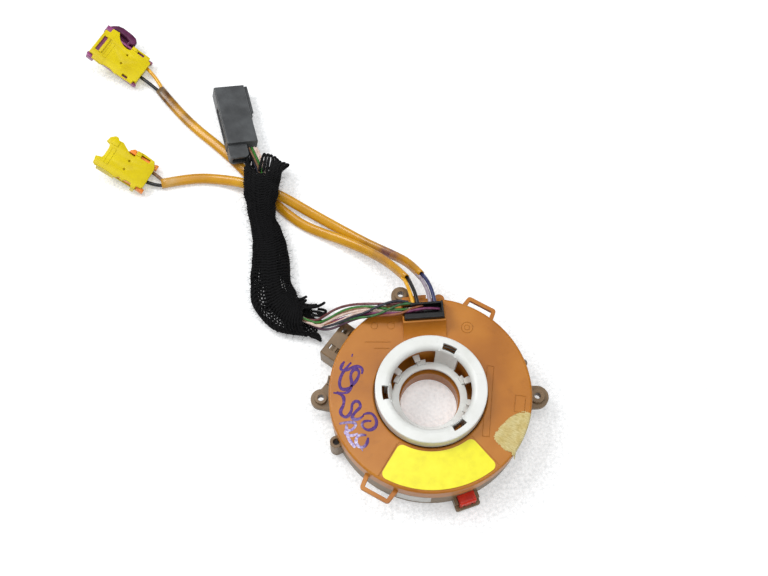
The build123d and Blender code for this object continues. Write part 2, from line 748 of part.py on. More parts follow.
def connector_body(length, width, waist, height):
    """A yellow airbag connector: waisted body, mating mouth, side grooves, vents and wire ports."""
    end, half = length / 2, width / 2
    body = waisted(length, width, waist, height)
    mouth = block(end - mouth_depth, end + 1, -half + mouth_wall * 1.6, half - mouth_wall * 1.6,
                  mouth_wall, height - mouth_wall)
    tongue = block(end - mouth_depth - 1, end - 1.2, -half * 0.42, half * 0.42,
                   height / 2 - 1.4, height / 2 + 1.4)
    body = body - mouth + tongue
    for side in (-1, 1):
        flank = side * (half - arm_thickness / 2 - slide_gap / 2)
        reach = (arm_thickness + slide_gap) / 2 + 0.01
        groove = block(-end - 1, end + 1, flank - reach, flank + reach,
                       arm_low - slide_gap, arm_low + arm_height + slide_gap)
        body -= groove
        body -= Pos(-end * 0.05, side * width * 0.16, height - 1.2) * extrude(Circle(vent_radius), 2)
        body -= Pos(-end, side * width * 0.2, height / 2) * (
            Rot(0, 90, 0) * Cylinder(lead_diameter / 2 + 0.25, 3.0))
    return body


def lock_arms(width, start, stop):
    """The two arms of a connector's secondary lock, from one end to the other along its sides."""
    half = width / 2
    arms = []
    for side in (-1, 1):
        inner, outer = sorted((side * (half - arm_thickness), side * half))
        arms.append(block(start, stop, inner, outer, arm_low, arm_low + arm_height))
    return arms


def connector_a():
    """Connector A: its body with the slot that the lock's bridge crosses."""
    end = a_length / 2
    body = connector_body(a_length, a_width, a_waist, a_height)
    bridge = a_bridge(slide_gap)
    body -= bridge
    back, front = end - bridge_back - slide_gap, end - bridge_front + slide_gap + arm_travel
    for side in (-1, 1):
        flank = sorted((side * (a_width / 2 - arm_thickness - slide_gap), side * (a_width / 2 + 1)))
        body -= block(back, front, *flank, arm_low, a_height)
    return laid(a_place, a_length / 2, a_width / 2) * body


def a_bridge(gap):
    """The bridge over connector A's top front, or with a gap the slot it slides in."""
    end = a_length / 2
    back, front = end - bridge_back - gap, end - bridge_front + gap
    travel = arm_travel if gap else 0
    half = a_width / 2 + gap
    top = a_height + (1 if gap else 0)
    return block(back, front + travel, -half, half, a_height - bridge_thickness - gap, top)


def connector_a_lock():
    """Connector A's purple lock: two arms, a bridge over the top and an arched finger bow."""
    end = a_length / 2
    half = a_width / 2
    tail = -end - arm_tail
    arms = lock_arms(a_width, tail, end - 0.6)
    lock = arms[0] + arms[1] + a_bridge(0)
    for side in (-1, 1):
        inner, outer = sorted((side * (half - arm_thickness), side * half))
        lock += block(end - bridge_back, end - bridge_front, inner, outer, arm_low, a_height - 0.2)
        lock += block(tail - tail_hook, tail, *sorted((side * (half - a_hook_reach), side * half)),
                      arm_low, arm_low + arm_height)
    first, last = bow["start"], bow["start"] + bow["span"]
    middle = (first + last) / 2
    outside = ThreePointArc((first, 0), (middle, bow["rise"]), (last, 0))
    inside = ThreePointArc((first + bow["foot"], 0), (middle, bow["rise"] - bow["crown"]),
                           (last - bow["foot"], 0))
    arch = make_face([outside, inside, Line(outside @ 0, inside @ 0), Line(outside @ 1, inside @ 1)])
    arch = Pos(0, -half, arm_low) * extrude(mirror(arch, Plane.XZ), arm_height)
    return laid(a_place, a_length / 2, a_width / 2) * (lock + arch)


def connector_b():
    """Connector B: a body whose front is notched between two pairs of prongs."""
    end = b_length / 2
    half = b_width / 2
    body = connector_body(b_length, b_width, b_waist, b_height)
    body -= block(end - 3.2, end + 1, -half + 4.6, half - 4.6, -1, b_height + 1)
    window = block(-end + 3.4, -end + 9.2, -half - 1, -half + 3.0, arm_low + arm_height + 0.9, b_height + 1)
    for room in b_keel(slide_gap):
        body -= room
    return laid(b_place, b_length / 2, b_width / 2) * (body - window)


def b_keel(gap):
    """The keel under connector B with its two uprights, or with a gap the room they slide in."""
    end, half = b_length / 2, b_width / 2
    back, front = -end + keel_back - gap, -end + keel_front + gap + (arm_travel if gap else 0)
    low = -1 if gap else 0
    rooms = [block(back, front, -half - gap, half + gap, low, keel_thickness + gap)]
    for side in (-1, 1):
        inner, outer = sorted((side * (half - arm_thickness - gap), side * (half + gap)))
        rooms.append(block(back, front, inner, outer, low, arm_low + 0.5))
    return rooms


def connector_b_lock():
    """Connector B's orange lock: two short arms joined under the body, and a finger tab."""
    end = b_length / 2
    half = b_width / 2
    tail = -end - arm_tail
    arms = lock_arms(b_width, tail, end * 0.2)
    lock = arms[0] + arms[1]
    for piece in b_keel(0):
        lock += piece
    for side in (-1, 1):
        lock += block(tail - tail_hook, tail, *sorted((side * (half - b_hook_reach), side * half)),
                      b_hook_low, arm_low + arm_height)
    lock += block(-end * 0.30, end * 0.15, -half - 1.6, -half, arm_low + 0.6, arm_low + arm_height)
    return laid(b_place, b_length / 2, b_width / 2) * lock


def black_plug():
    """The black plug: a flat housing with two keying ridges, terminal cavities and a latch."""
    end, half = plug_length / 2, plug_width / 2
    body = block(-end, end, -half, half, 0, plug_height)
    body = fillet(body.edges().filter_by(Axis.X), 0.9)
    for z in (1.6, plug_height - 3.2):
        body += block(end - plug_ridge_length, end, -half - plug_ridge, -half + 1, z, z + 1.6)
    pitch = plug_width / 7
    for row in (plug_height * 0.3, plug_height * 0.7):
        for column in range(6):
            y = (column - 2.5) * pitch
            body -= block(end - 4, end + 1, y - 0.7, y + 0.7, row - 0.8, row + 0.8)
    body -= block(-end + 3, end - 12, half - 0.8, half + 1, 2.0, plug_height - 2.0)
    return laid(plug_place, plug_length / 2, plug_width / 2 + plug_ridge) * body


def plug_cover():
    """The lower strain-relief cover behind the plug."""
    end, half = plug_length / 2, plug_width / 2
    top = plug_height - plug_rear_drop
    cover = block(-end - plug_rear_length, -end, half - plug_rear_width, half - 0.4, 0.4, top)
    cover = fillet(cover.edges().filter_by(Axis.Z).sort_by(Axis.X)[:2], 2.4)
    hollow = block(-end - plug_rear_length - 1, -end - 1.5, half - plug_rear_width + 1.4,
                   half - 1.8, 1.8, top - 1.4)
    return laid(plug_place, plug_length / 2, plug_width / 2 + plug_ridge) * (cover - hollow)


parts = {
    "base_housing": base_housing,
    "main_socket_pins": main_socket_pins,
    "red_lock": red_lock,
    "rotor_cover": rotor_cover,
    "tower_connector": tower_connector,
    "lock_ring": lock_ring,
    "lock_spring": lock_spring,
    "flat_cable": flat_cable,
    "yellow_label": yellow_label,
    "side_sticker": side_sticker,
    "tape_remnant": tape_remnant,
    "knit_sleeve": knit_sleeve,
    "connector_a": connector_a,
    "connector_a_lock": connector_a_lock,
    "connector_b": connector_b,
    "connector_b_lock": connector_b_lock,
    "black_plug": black_plug,
    "plug_cover": plug_cover,
}
cords = {
    "sheath_a": (sheath_a_route, sheath_diameter),
    "sheath_b": (sheath_b_route, sheath_diameter),
    "harness_bundle": (bundle_route, bundle_diameter),
    "plug_bundle": (plug_bundle_route, plug_bundle_diameter),
}
for lead, route in lead_routes.items():
    cords[lead] = (route, lead_diameter)

os.makedirs("parts", exist_ok=True)
for node, make in parts.items():
    export_step(make(), f"parts/{node}.step")
for node, (route, diameter) in cords.items():
    export_step(cord(node, route, diameter), f"parts/{node}.step")
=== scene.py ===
import math
import random

import bpy
from mathutils import Matrix, Vector, noise


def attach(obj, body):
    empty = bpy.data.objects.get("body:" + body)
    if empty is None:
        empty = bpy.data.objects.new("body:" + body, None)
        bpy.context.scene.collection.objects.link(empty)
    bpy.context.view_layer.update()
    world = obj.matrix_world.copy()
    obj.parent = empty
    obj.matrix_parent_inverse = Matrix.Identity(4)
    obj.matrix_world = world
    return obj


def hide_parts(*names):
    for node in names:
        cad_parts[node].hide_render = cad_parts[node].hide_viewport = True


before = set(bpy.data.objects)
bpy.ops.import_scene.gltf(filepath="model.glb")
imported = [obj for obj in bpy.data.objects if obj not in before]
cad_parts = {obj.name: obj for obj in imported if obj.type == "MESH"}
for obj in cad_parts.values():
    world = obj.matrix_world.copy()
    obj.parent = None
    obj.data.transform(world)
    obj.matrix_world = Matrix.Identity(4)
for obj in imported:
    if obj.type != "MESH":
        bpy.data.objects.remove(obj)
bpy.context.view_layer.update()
print("stage: frame loaded")

mm = 0.001
yAxis, zAxis = Vector((0, 1, 0)), Vector((0, 0, 1))


# the camera comes first, then the cords
view = {"place": (-46.36, -176.73, 597.74), "lens": 56.25, "tilt": 22.4, "roll": 2.4, "turn": -6.7}

bpy.ops.object.camera_add()
camera = bpy.context.object
camera.name = "benchCamera"
camera.data.lens = view["lens"]
camera.data.sensor_width = 36
camera.data.clip_start = 0.01
camera.data.clip_end = 20
camera.data.dof.use_dof = False
aim = Matrix()
for angle, axis in (("turn", "Z"), ("tilt", "X"), ("roll", "Z")):
    aim = aim @ Matrix.Rotation(math.radians(view[angle]), 4, axis)
camera.matrix_world = Matrix.Translation([mm * value for value in view["place"]]) @ aim
bpy.context.scene.camera = camera
bpy.context.scene.view_settings.view_transform = "Standard"


def linear(hexText):  # sRGB hex to the linear colour that the shaders take
    parts = [int(hexText[i:i + 2], 16) / 255 for i in (0, 2, 4)]
    return [c / 12.92 if c <= 0.04045 else ((c + 0.055) / 1.055) ** 2.4 for c in parts] + [1]


def add(tree, kind, settings=None, links=None):  # one node, its settings and what feeds it
    node = tree.nodes.new("ShaderNode" + kind)
    for key, value in (settings or {}).items():
        if isinstance(key, int) or (key in node.inputs and not hasattr(node, key)):
            node.inputs[key].default_value = value
        else:
            setattr(node, key, value)
    for key, socket in (links or {}).items():
        tree.links.new(socket, node.inputs[key])
    return node


def startMaterial(name, settings, layer=None):  # a principled shader, its constants and its patterns' place
    material = bpy.data.materials.new(name)
    material.use_nodes = True
    tree = material.node_tree
    shader = tree.nodes["Principled BSDF"]
    for key, value in settings.items():
        shader.inputs[key].default_value = value
    if layer:
        return tree, material, add(tree, "UVMap", {"uv_map": layer}).outputs["UV"]
    return tree, material, add(tree, "TexCoord").outputs["Object"]


def endMaterial(material, colour, height, strength, depth):  # the colour and the relief reach the shader
    tree = material.node_tree
    shader = tree.nodes["Principled BSDF"]
    tree.links.new(colour, shader.inputs["Base Color"])
    bump = add(tree, "Bump", {"Strength": strength, "Distance": depth * mm}, {"Height": height})
    tree.links.new(bump.outputs["Normal"], shader.inputs["Normal"])
    return material


def settle(piece, body, slot, *nodes):  # the body it rides on, its slot (not used) and the frame's pieces it stands for
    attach(piece, body)
    if nodes:
        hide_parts(*nodes)


def spread(tree, factor, stops):  # a colour ramp over (place, hex) stops
    ramp = add(tree, "ValToRGB", None, {"Fac": factor})
    band = ramp.color_ramp
    while len(band.elements) < len(stops):
        band.elements.new(0.5)
    for element, (place, colour) in zip(band.elements, stops):
        element.position = place
        element.color = linear(colour)
    return ramp.outputs["Color"]


floor = {"size": 6, "colour": "ECEDEE", "ownWhite": 0.3, "grain": 1.6}

bpy.ops.mesh.primitive_plane_add(size=floor["size"], location=(0, 0, -0.0002))
bench = bpy.context.object
bench.name = "benchFloor"
# matt foam sheet: pale and faintly cellular; camera, gloss and clear pieces also see its own white
tree, sheetFloor, place = startMaterial("foamSheetFloor", {"Roughness": 0.9, "Specular IOR Level": 0.2})
shader = tree.nodes["Principled BSDF"]
cells = add(tree, "TexNoise", {"Scale": 1 / (floor["grain"] * mm), "Detail": 3}, {"Vector": place})
pale = spread(tree, cells.outputs["Fac"], [(0.3, "DCDEDF"), (0.5, floor["colour"]), (0.7, "F6F7F8")])
tree.links.new(pale, shader.inputs["Base Color"])
tree.links.new(pale, shader.inputs["Emission Color"])
rays = add(tree, "LightPath")
seen = add(tree, "Math", {"operation": "MAXIMUM"},
           {0: rays.outputs["Is Camera Ray"], 1: rays.outputs["Is Glossy Ray"]})
seen = add(tree, "Math", {"operation": "MAXIMUM"},
           {0: seen.outputs[0], 1: rays.outputs["Is Transmission Ray"]})
ownWhite = add(tree, "Math", {"operation": "MULTIPLY", 1: floor["ownWhite"]}, {0: seen.outputs[0]})
tree.links.new(ownWhite.outputs[0], shader.inputs["Emission Strength"])
bench.data.materials.append(sheetFloor)

lamps = [
    {"name": "windowLight", "place": (-0.9, 0.55, 1.3), "size": 0.7, "power": 13},
    {"name": "ceilingLight", "place": (0.25, -0.2, 1.7), "size": 1.5, "power": 8.5},
    {"name": "fillLight", "place": (0.9, -0.9, 0.9), "size": 1.2, "power": 2.5},
    {"name": "glossLight", "place": (-0.1, 0.34, 1.5), "size": 0.26, "power": 2.6},
]
for lamp in lamps:
    bpy.ops.object.light_add(type="AREA", location=lamp["place"])
    light = bpy.context.object
    light.name = lamp["name"]
    light.data.size = lamp["size"]
    light.data.energy = lamp["power"]
    light.rotation_euler = (-Vector(lamp["place"])).to_track_quat("-Z", "Y").to_euler()
world = bpy.data.worlds.new("paleRoom")
bpy.context.scene.world = world
world.use_nodes = True
world.node_tree.nodes["Background"].inputs["Color"].default_value = linear("FFFFFF")
world.node_tree.nodes["Background"].inputs["Strength"].default_value = 0.38
print("stage: camera, floor and light")


# plastics and wires: what each real surface is, and what that gives the eye

def mouldedPlastic(name, look):  # grain, faint mottling, handling marks and softened edges
    tree, material, place = startMaterial(name, {
        "Roughness": look["roughness"], "IOR": look.get("ior", 1.5), "Coat Roughness": 0.2,
        "Specular IOR Level": look.get("gloss", 0.5), "Coat Weight": look.get("coat", 0)})
    shader = tree.nodes["Principled BSDF"]
    mottle = add(tree, "TexNoise", {"Scale": 1 / (look["mottle"] * mm), "Detail": 4}, {"Vector": place})
    colour = spread(tree, mottle.outputs["Fac"],
                    [(0.3, look["dark"]), (0.5, look["colour"]), (0.72, look["pale"])])
    dirt = add(tree, "TexNoise", {"Scale": 1 / (7 * mm), "Detail": 8, "Roughness": 0.7}, {"Vector": place})
    dirtPlace = add(tree, "MapRange", {"From Min": 0.58, "From Max": 0.75, "To Max": look.get("dirt", 0.2)},
                    {"Value": dirt.outputs["Fac"]})
    soiled = add(tree, "Mix", {"data_type": "RGBA", "blend_type": "MULTIPLY", 7: linear(look["soil"])},
                 {0: dirtPlace.outputs["Result"], 6: colour})
    tree.links.new(soiled.outputs[2], shader.inputs["Base Color"])
    grain = add(tree, "TexNoise", {"Scale": 1 / (look["grain"] * mm), "Detail": 3}, {"Vector": place})
    edge = add(tree, "Bevel", {"Radius": look.get("edge", 0.25) * mm, "samples": 4})
    skin = add(tree, "Bump", {"Strength": look.get("relief", 0.25), "Distance": 0.1 * mm},
               {"Height": grain.outputs["Fac"], "Normal": edge.outputs["Normal"]})
    tree.links.new(skin.outputs["Normal"], shader.inputs["Normal"])
    return material


def wireCover(name, colour, streak):  # extruded PVC: satin, a little dust, faint drawn streaks
    tree, material, place = startMaterial(name, {"Roughness": 0.38, "IOR": 1.53})
    dust = add(tree, "TexNoise", {"Scale": 1 / (2.2 * mm), "Detail": 6}, {"Vector": place})
    shade = spread(tree, dust.outputs["Fac"], [(0.35, colour), (0.66, streak)])
    return endMaterial(material, shade, dust.outputs["Fac"], 0.12, 0.05)


wirePaint = {
    "maroon": ("5E2A30", "7C4A4C"), "green": ("256A1E", "3F8034"), "pink": ("CFB2A6", "E6D2C6"),
    "brown": ("6E5038", "927054"), "aubergine": ("3C2434", "5C3E50"), "navy": ("14141F", "2A2A3C"),
    "darkGreen": ("174020", "3A7438"), "rust": ("7A4028", "A0623E"), "magenta": ("64204A", "86406A"),
    "black": ("0C0C0D", "1E1E1F"), "amber": ("D89A12", "EFB62A"), "grey": ("8C7F8E", "A79CA6"),
    "blue": ("22264E", "3D436E"),
}
wirePvc = {name: wireCover(name + "WirePvc", *paint) for name, paint in wirePaint.items()}
print("stage: wire covers")


# cords: lines first, then what follows them

def newPiece(name, data):
    piece = bpy.data.objects.new(name, data)
    bpy.context.scene.collection.objects.link(piece)
    return piece


def choose(*pieces):  # only these are selected, the first of them active
    bpy.ops.object.select_all(action="DESELECT")
    for piece in pieces:
        piece.select_set(True)
    bpy.context.view_layer.objects.active = pieces[0]


def smoothLine(name, points, radius=0):  # a NURBS curve whose control points are the route's points
    curve = bpy.data.curves.new(name, "CURVE")
    curve.dimensions = "3D"
    curve.resolution_u = 10
    curve.bevel_depth = radius * mm
    curve.bevel_resolution = 3
    curve.use_fill_caps = radius > 0
    spline = curve.splines.new("NURBS")
    spline.points.add(len(points) - 1)
    for control, place in zip(spline.points, points):
        control.co = (place[0] * mm, place[1] * mm, place[2] * mm, 1)
    spline.order_u = 3
    spline.use_endpoint_u = True
    return newPiece(name, curve)


def readLine(name, points):  # the smooth line's own points, read from the curve and then let go
    guide = smoothLine(name, points)
    mesh = bpy.data.meshes.new_from_object(guide)
    line = [vertex.co.copy() for vertex in mesh.vertices]
    bpy.data.objects.remove(guide)
    bpy.data.meshes.remove(mesh)
    return line


def aheadAt(line, i):  # the way a line runs at one of its points
    return (line[min(i + 1, len(line) - 1)] - line[max(i - 1, 0)]).normalized()


def tubeFaces(faces, start, rings, sides):  # the skin between neighbouring rings, and a cap at each end
    for first in range(start, start + (rings - 1) * sides, sides):
        for k in range(sides):
            n = (k + 1) % sides
            faces.append((first + k, first + n, first + sides + n, first + sides + k))
    faces.append(tuple(reversed(range(start, start + sides))))
    faces.append(tuple(range(start + (rings - 1) * sides, start + rings * sides)))


def frames(line):  # at each point: the place, the way ahead, level sideways, up, and the length so far
    made, run = [], 0
    for i, place in enumerate(line):
        ahead = aheadAt(line, i)
        side = ahead.cross(zAxis).normalized()
        made.append((place, ahead, side, side.cross(ahead), run))
        if i + 1 < len(line):
            run += (line[i + 1] - place).length
    return made


def meshPiece(name, vertices, faces, material, uv=None):
    mesh = bpy.data.meshes.new(name)
    mesh.from_pydata(vertices, [], faces)
    mesh.materials.append(material)
    mesh.polygons.foreach_set("use_smooth", [True] * len(mesh.polygons))
    if uv:
        layer = mesh.uv_layers.new(name="along")
        for loop in mesh.loops:
            layer.data[loop.index].uv = uv[loop.vertex_index]
    return newPiece(name, mesh)


sheathShape = {"wide": 2.8, "narrow": 1.85, "wall": 0.5, "mouth": 3, "sides": 28}


def ovalSheath(name, points, leans, material):  # an oval tube that leans as the two wires in it twist
    line = readLine(name + "Line", points)
    steps = frames(line)
    whole = steps[-1][4]
    sides = sheathShape["sides"]
    vertices, faces, uv = [], [], []

    def ring(step, shrink, shift):
        place, ahead, side, up, run = step
        share = run / whole
        lean = next(a + (b - a) * (share - s) / (t - s)
                    for (s, a), (t, b) in zip(leans, leans[1:]) if share <= t + 1e-9)
        long = side * math.cos(math.radians(lean)) + up * math.sin(math.radians(lean))
        short = up * math.cos(math.radians(lean)) - side * math.sin(math.radians(lean))
        for k in range(sides):
            turn = 2 * math.pi * k / sides
            wide = (sheathShape["wide"] - shrink) * mm * math.cos(turn)
            waist = 1 - 0.07 * math.exp(-(math.cos(turn) / 0.35) ** 2)
            narrow = (sheathShape["narrow"] - shrink) * waist * mm * math.sin(turn)
            vertices.append(place + ahead * shift * mm + long * wide + short * narrow)
            uv.append((k / sides, run))

    ring(steps[0], sheathShape["wall"], sheathShape["mouth"])
    ring(steps[0], sheathShape["wall"], 0.05)
    for step in steps:
        ring(step, 0, 0)
    ring(steps[-1], sheathShape["wall"], -0.05)
    ring(steps[-1], sheathShape["wall"], -sheathShape["mouth"])
    tubeFaces(faces, 0, len(vertices) // sides, sides)
    return meshPiece(name, vertices, faces, material, uv), line


def stainedSheath(name, stains):  # heat-shrunk PVC sleeve: amber, satin, with rubbed brown stains
    tree, material, place = startMaterial(name, {"Roughness": 0.34, "IOR": 1.53, "Coat Weight": 0.15})
    drift = add(tree, "TexNoise", {"Scale": 1 / (26 * mm), "Detail": 3}, {"Vector": place})
    colour = spread(tree, drift.outputs["Fac"], [(0.3, "B67C06"), (0.5, "CB900C"), (0.7, "DAA21A")])
    rub = add(tree, "TexNoise", {"Scale": 1 / (3.5 * mm), "Detail": 6}, {"Vector": place})
    for (x, y, z), reach, tint, weight in stains:
        near = add(tree, "VectorMath", {"operation": "DISTANCE", 1: (x * mm, y * mm, z * mm)}, {0: place})
        ends = {"From Min": reach * mm, "From Max": reach * 0.25 * mm, "To Max": weight}
        fade = add(tree, "MapRange", ends, {"Value": near.outputs["Value"]})
        patch = add(tree, "Math", {"operation": "MULTIPLY"},
                    {0: fade.outputs["Result"], 1: rub.outputs["Fac"]})
        mixed = add(tree, "Mix", {"data_type": "RGBA", 7: linear(tint)},
                    {0: patch.outputs["Value"], 6: colour})
        colour = mixed.outputs[2]
    return endMaterial(material, colour, rub.outputs["Fac"], 0.15, 0.15)


sheathARoute = [
    (-6.7, 62.1, 24.6), (-13, 73, 18.4), (-23.8, 84.6, 11.2), (-37.2, 94.6, 6.2), (-52, 102.7, 3.4),
    (-61.6, 108.9, 2.5), (-74, 121.5, 2.4), (-92.2, 146.2, 2.4), (-103.6, 159.2, 2.4), (-116.1, 171.6, 2.4),
    (-127.3, 185.3, 2.4), (-136.3, 198.7, 2.7)]
sheathBRoute = [
    (1, 63.5, 24.6), (-3.6, 73, 19), (-11.8, 81.2, 13), (-25, 91.2, 7.6), (-40, 103.2, 4.2),
    (-55.5, 114.2, 4.2), (-71.5, 124.4, 8.1), (-88, 132.2, 7.6), (-103, 138.4, 2.9), (-119.5, 140.6, 2.5),
    (-135.9, 138, 2.6)]
sheathPvc = stainedSheath("amberSheathPvc", [
    ((-13.5, 83, 12), 13, "6A4450", 1.5), ((-24, 91, 8), 8, "6E4A30", 0.8),
    ((-2.5, 69, 21.5), 6, "7A5A3A", 0.7), ((-121, 178, 4), 7, "3A2A18", 0.9),
    ((-133.5, 194.5, 4), 17, "5A3606", 1.7), ((-137.6, 197, 3), 6.5, "6E675C", 1.2),
    ((-131, 138.5, 4), 8, "C9A664", 0.9),
    ((-10.5, 69, 21), 4.5, "8A641E", 0.6)])
sheathA, sheathALine = ovalSheath(
    "amberSheathA", sheathARoute, [(0, 78), (0.12, 60), (0.3, 38), (0.5, 40), (0.7, 20), (1, 5)], sheathPvc)
sheathB, sheathBLine = ovalSheath(
    "amberSheathB", sheathBRoute, [(0, 70), (0.12, 62), (0.3, 40), (0.45, 35), (0.7, 30), (1, 18)], sheathPvc)

leadShape = {"radius": 1}
leads = {
    "lead_a_yellow": ("amber", [
        (-5.2, 45.6, 31.5), (-5.6, 50, 31.4), (-6.9, 56.8, 28.6), (-8, 62.4, 24.2), (-8.9, 63.6, 23.4)]),
    "lead_a_black": ("black", [
        (-2.9, 45.6, 31.5), (-3.2, 50.2, 31.3), (-4.7, 57.2, 28), (-6.3, 63.4, 24.2), (-7.1, 64.6, 23.4)]),
    "lead_b_grey": ("grey", [
        (3.6, 45.6, 31.5), (3.4, 50.4, 31.4), (1.7, 57.8, 28.4), (-0.3, 63.9, 24.1), (-1.1, 65, 23.3)]),
    "lead_b_navy": ("blue", [
        (5.9, 45.6, 31.5), (5.6, 50.6, 31.5), (3.8, 58.4, 28.8), (1.5, 64.7, 24.1), (0.8, 65.9, 23.3)]),
    "lead_a_amber": ("amber", [(-134.9, 198.4, 3.2), (-137.6, 205.4, 4.4), (-143.9, 213.3, 3.6)]),
    "lead_a_dark": ("black", [(-136.6, 197.3, 2.6), (-141.4, 202, 3.8), (-147.8, 207.8, 3.6)]),
    "lead_b_brown": ("brown", [(-134.6, 139, 2.8), (-137.2, 142, 3.8), (-141.2, 145.2, 3.6)]),
    "lead_b_dark": ("black", [(-134.9, 137, 2.4), (-139.4, 136.9, 3), (-144.7, 139.5, 3.6)]),
}
leadSlots = {"amber": "wire_yellow", "grey": "wire_grey", "blue": "wire_navy"}
for node, (paint, points) in leads.items():
    wire = smoothLine(node.replace("_", "") + "Wire", points, leadShape["radius"])
    wire.data.materials.append(wirePvc[paint])
    settle(wire, "rotor", leadSlots.get(paint, "wire_black"), node)

for piece, node in ((sheathA, "sheath_a"), (sheathB, "sheath_b")):
    settle(piece, "rotor", "sheath", node)
print("stage: sheaths and leads")


# harness: ten thin wires from the tower through the knitted sleeve to the plug

harness = {"radius": 0.68}
toPlug = [
    (-60.6, 50.6, 5), (-69.6, 54.8, 5), (-76.4, 65.5, 5), (-78.4, 79, 5), (-79, 94, 5.2),
    (-80.2, 108, 6.6), (-80.4, 121, 13.4), (-79.6, 131, 14),
]
harnessWires = {
    "maroon": [
        (-5.1, 45.8, 30.8), (-9.2, 46.3, 31.2), (-15.6, 46.1, 31.4), (-22.4, 46.6, 31.5),
        (-30.9, 48.4, 28.6), (-38.1, 50, 23.9), (-44.6, 50.9, 17.4), (-50, 50.5, 10.2), (-54.4, 49.4, 6.4)],
    "green": [
        (-5, 42.7, 30), (-11.3, 42.9, 31.1), (-17.6, 43.3, 31.3), (-23.8, 45.2, 30.8), (-29.2, 46.7, 29),
        (-36, 47.7, 25.7), (-42, 48.1, 20.5), (-48.2, 47.6, 12.6), (-54.4, 47.6, 6.5)],
    "pink": [
        (-4.2, 43.8, 29.6), (-11.3, 43, 29.9), (-20.3, 43.4, 30.2), (-27.5, 44.6, 29.4),
        (-32.9, 45.2, 27.6), (-37.5, 45.7, 24.4), (-43.1, 45.9, 19.6), (-49, 46.1, 11.5), (-54.8, 46, 6.2)],
    "brown": [
        (-8.2, 46.2, 29.8), (-13.7, 46.4, 30), (-20.2, 45.1, 30), (-27.4, 45.6, 29.2), (-33.8, 46.4, 27.1),
        (-38.3, 47.1, 23.4), (-44, 46.7, 18), (-50.2, 46.4, 9.4), (-55.1, 46.8, 5.2)],
    "pinkLower": [
        (-2.1, 42.5, 29.4), (-13.6, 42, 29.7), (-21.3, 42.2, 30.2), (-27.6, 43.2, 29.6), (-33, 43.9, 28.1),
        (-37.2, 43.7, 25.2), (-41.8, 43, 21.1), (-46.5, 43.3, 15.4), (-52.8, 44.5, 8.1)],
    "aubergine": [
        (0.1, 42.3, 29.4), (-9.1, 41.5, 29.8), (-17.8, 41.2, 30.1), (-25, 41.2, 29.6), (-31.3, 41.4, 27.8),
        (-35.4, 41.3, 25.6), (-39.6, 41.2, 22.2), (-43.9, 40.8, 18.4), (-48.1, 41.6, 12.6), (-53.2, 44, 7)],
    "navy": [
        (-7.4, 46.3, 32), (-11.4, 47.2, 32.3), (-15.5, 47, 32.6), (-19.2, 46, 32.8), (-23.9, 44.5, 32.6),
        (-27.6, 43.1, 31.4), (-32.2, 42.2, 29.5), (-36.8, 42.2, 26.4), (-41.9, 42.2, 21.6),
        (-47.6, 43, 14.2), (-54.2, 45.2, 6.8)],
    "darkGreen": [
        (-3.1, 45.2, 31.3), (-7, 45.6, 32.1), (-12, 45, 32.7), (-17.6, 43, 32.6), (-23.3, 40.7, 32),
        (-27.8, 40.3, 30.6), (-32.8, 41, 28.4), (-38.6, 42, 24.2), (-45.2, 42.4, 17.2), (-52.8, 45, 7.2)],
    "rust": [
        (-0.2, 44.6, 30.2), (-4, 43.6, 31.2), (-7.8, 41.9, 31.8), (-11.5, 40.5, 31.8), (-16.1, 40.1, 31.4),
        (-21.5, 40.4, 30.8), (-31.4, 42.6, 27.4), (-38.7, 43, 23.2), (-46.1, 44.4, 15), (-52.3, 46, 7.4)],
    "magenta": [
        (8.2, 42.4, 29.6), (2.3, 42.7, 31.2), (-3.2, 42, 31.9), (-8.7, 41.2, 31.4), (-13.7, 40.9, 31.2),
        (-20.5, 41.6, 31.2), (-26.8, 42.4, 30.1), (-32.3, 42.4, 28.2), (-38.7, 43.9, 23.6),
        (-45.2, 44.8, 15.8), (-52.3, 46.6, 6.6)],
}
bundleSpots = [
    (-1.6, 1.2), (0, 1.5), (1.6, 1), (-2.4, -0.2), (-0.8, 0), (0.8, 0), (2.4, -0.2), (-1.5, -1.4),
    (0.1, -1.5), (1.6, -1.3),
]
plugEnds = [
    [(-81, 138, 12.6), (-83.2, 145.4, 9.6), (-86.4, 154.6, 7.2)],
    [(-79.6, 137.6, 12.8), (-82, 145.6, 10), (-85, 154.6, 7.4)],
    [(-78.2, 137, 12.6), (-80.6, 145.6, 9.8), (-83.6, 154.6, 7.4)],
    [(-77, 136.6, 12), (-79.2, 145.2, 9.2), (-82.4, 154.4, 7.2)],
    [(-82.2, 138.2, 11.6), (-84.6, 145.8, 8.6), (-87.4, 154.8, 6.2)],
    [(-80.4, 138, 11.2), (-83.2, 145.8, 8.3), (-86, 154.8, 5.9)],
    [(-78.8, 137.4, 11.2), (-81.6, 145.6, 8.2), (-84.6, 154.8, 5.9)],
    [(-77.6, 137, 10.8), (-80, 145.4, 8), (-83.2, 154.6, 5.9)],
    [(-81.4, 138, 10.2), (-84, 145.8, 7.2), (-86.6, 154.8, 4.9)],
    [(-79.4, 137.6, 10), (-82.2, 145.6, 7), (-85, 154.8, 4.8)],
]
wireOrder = [
    "brown", "green", "pink", "pinkLower", "navy", "darkGreen", "maroon", "aubergine", "rust", "magenta",
]
wireCords = []
for name, spot, ending in zip(wireOrder, bundleSpots, plugEnds):
    inside = [(x + spot[0] * (0.6 if y < 60 else 1), y, z + spot[1]) for x, y, z in toPlug]
    wire = smoothLine(name + "HarnessWire", harnessWires[name] + inside + ending, harness["radius"])
    wire.data.materials.append(wirePvc["pink" if name == "pinkLower" else name])
    settle(wire, "rotor", "wire_mixed", "harness_bundle", "plug_bundle")
    wireCords.append((wire, harnessWires[name] + inside + ending))


# knitted sleeve: one yarn knitted round and round, loose fringe loops at both ends, stray fibres

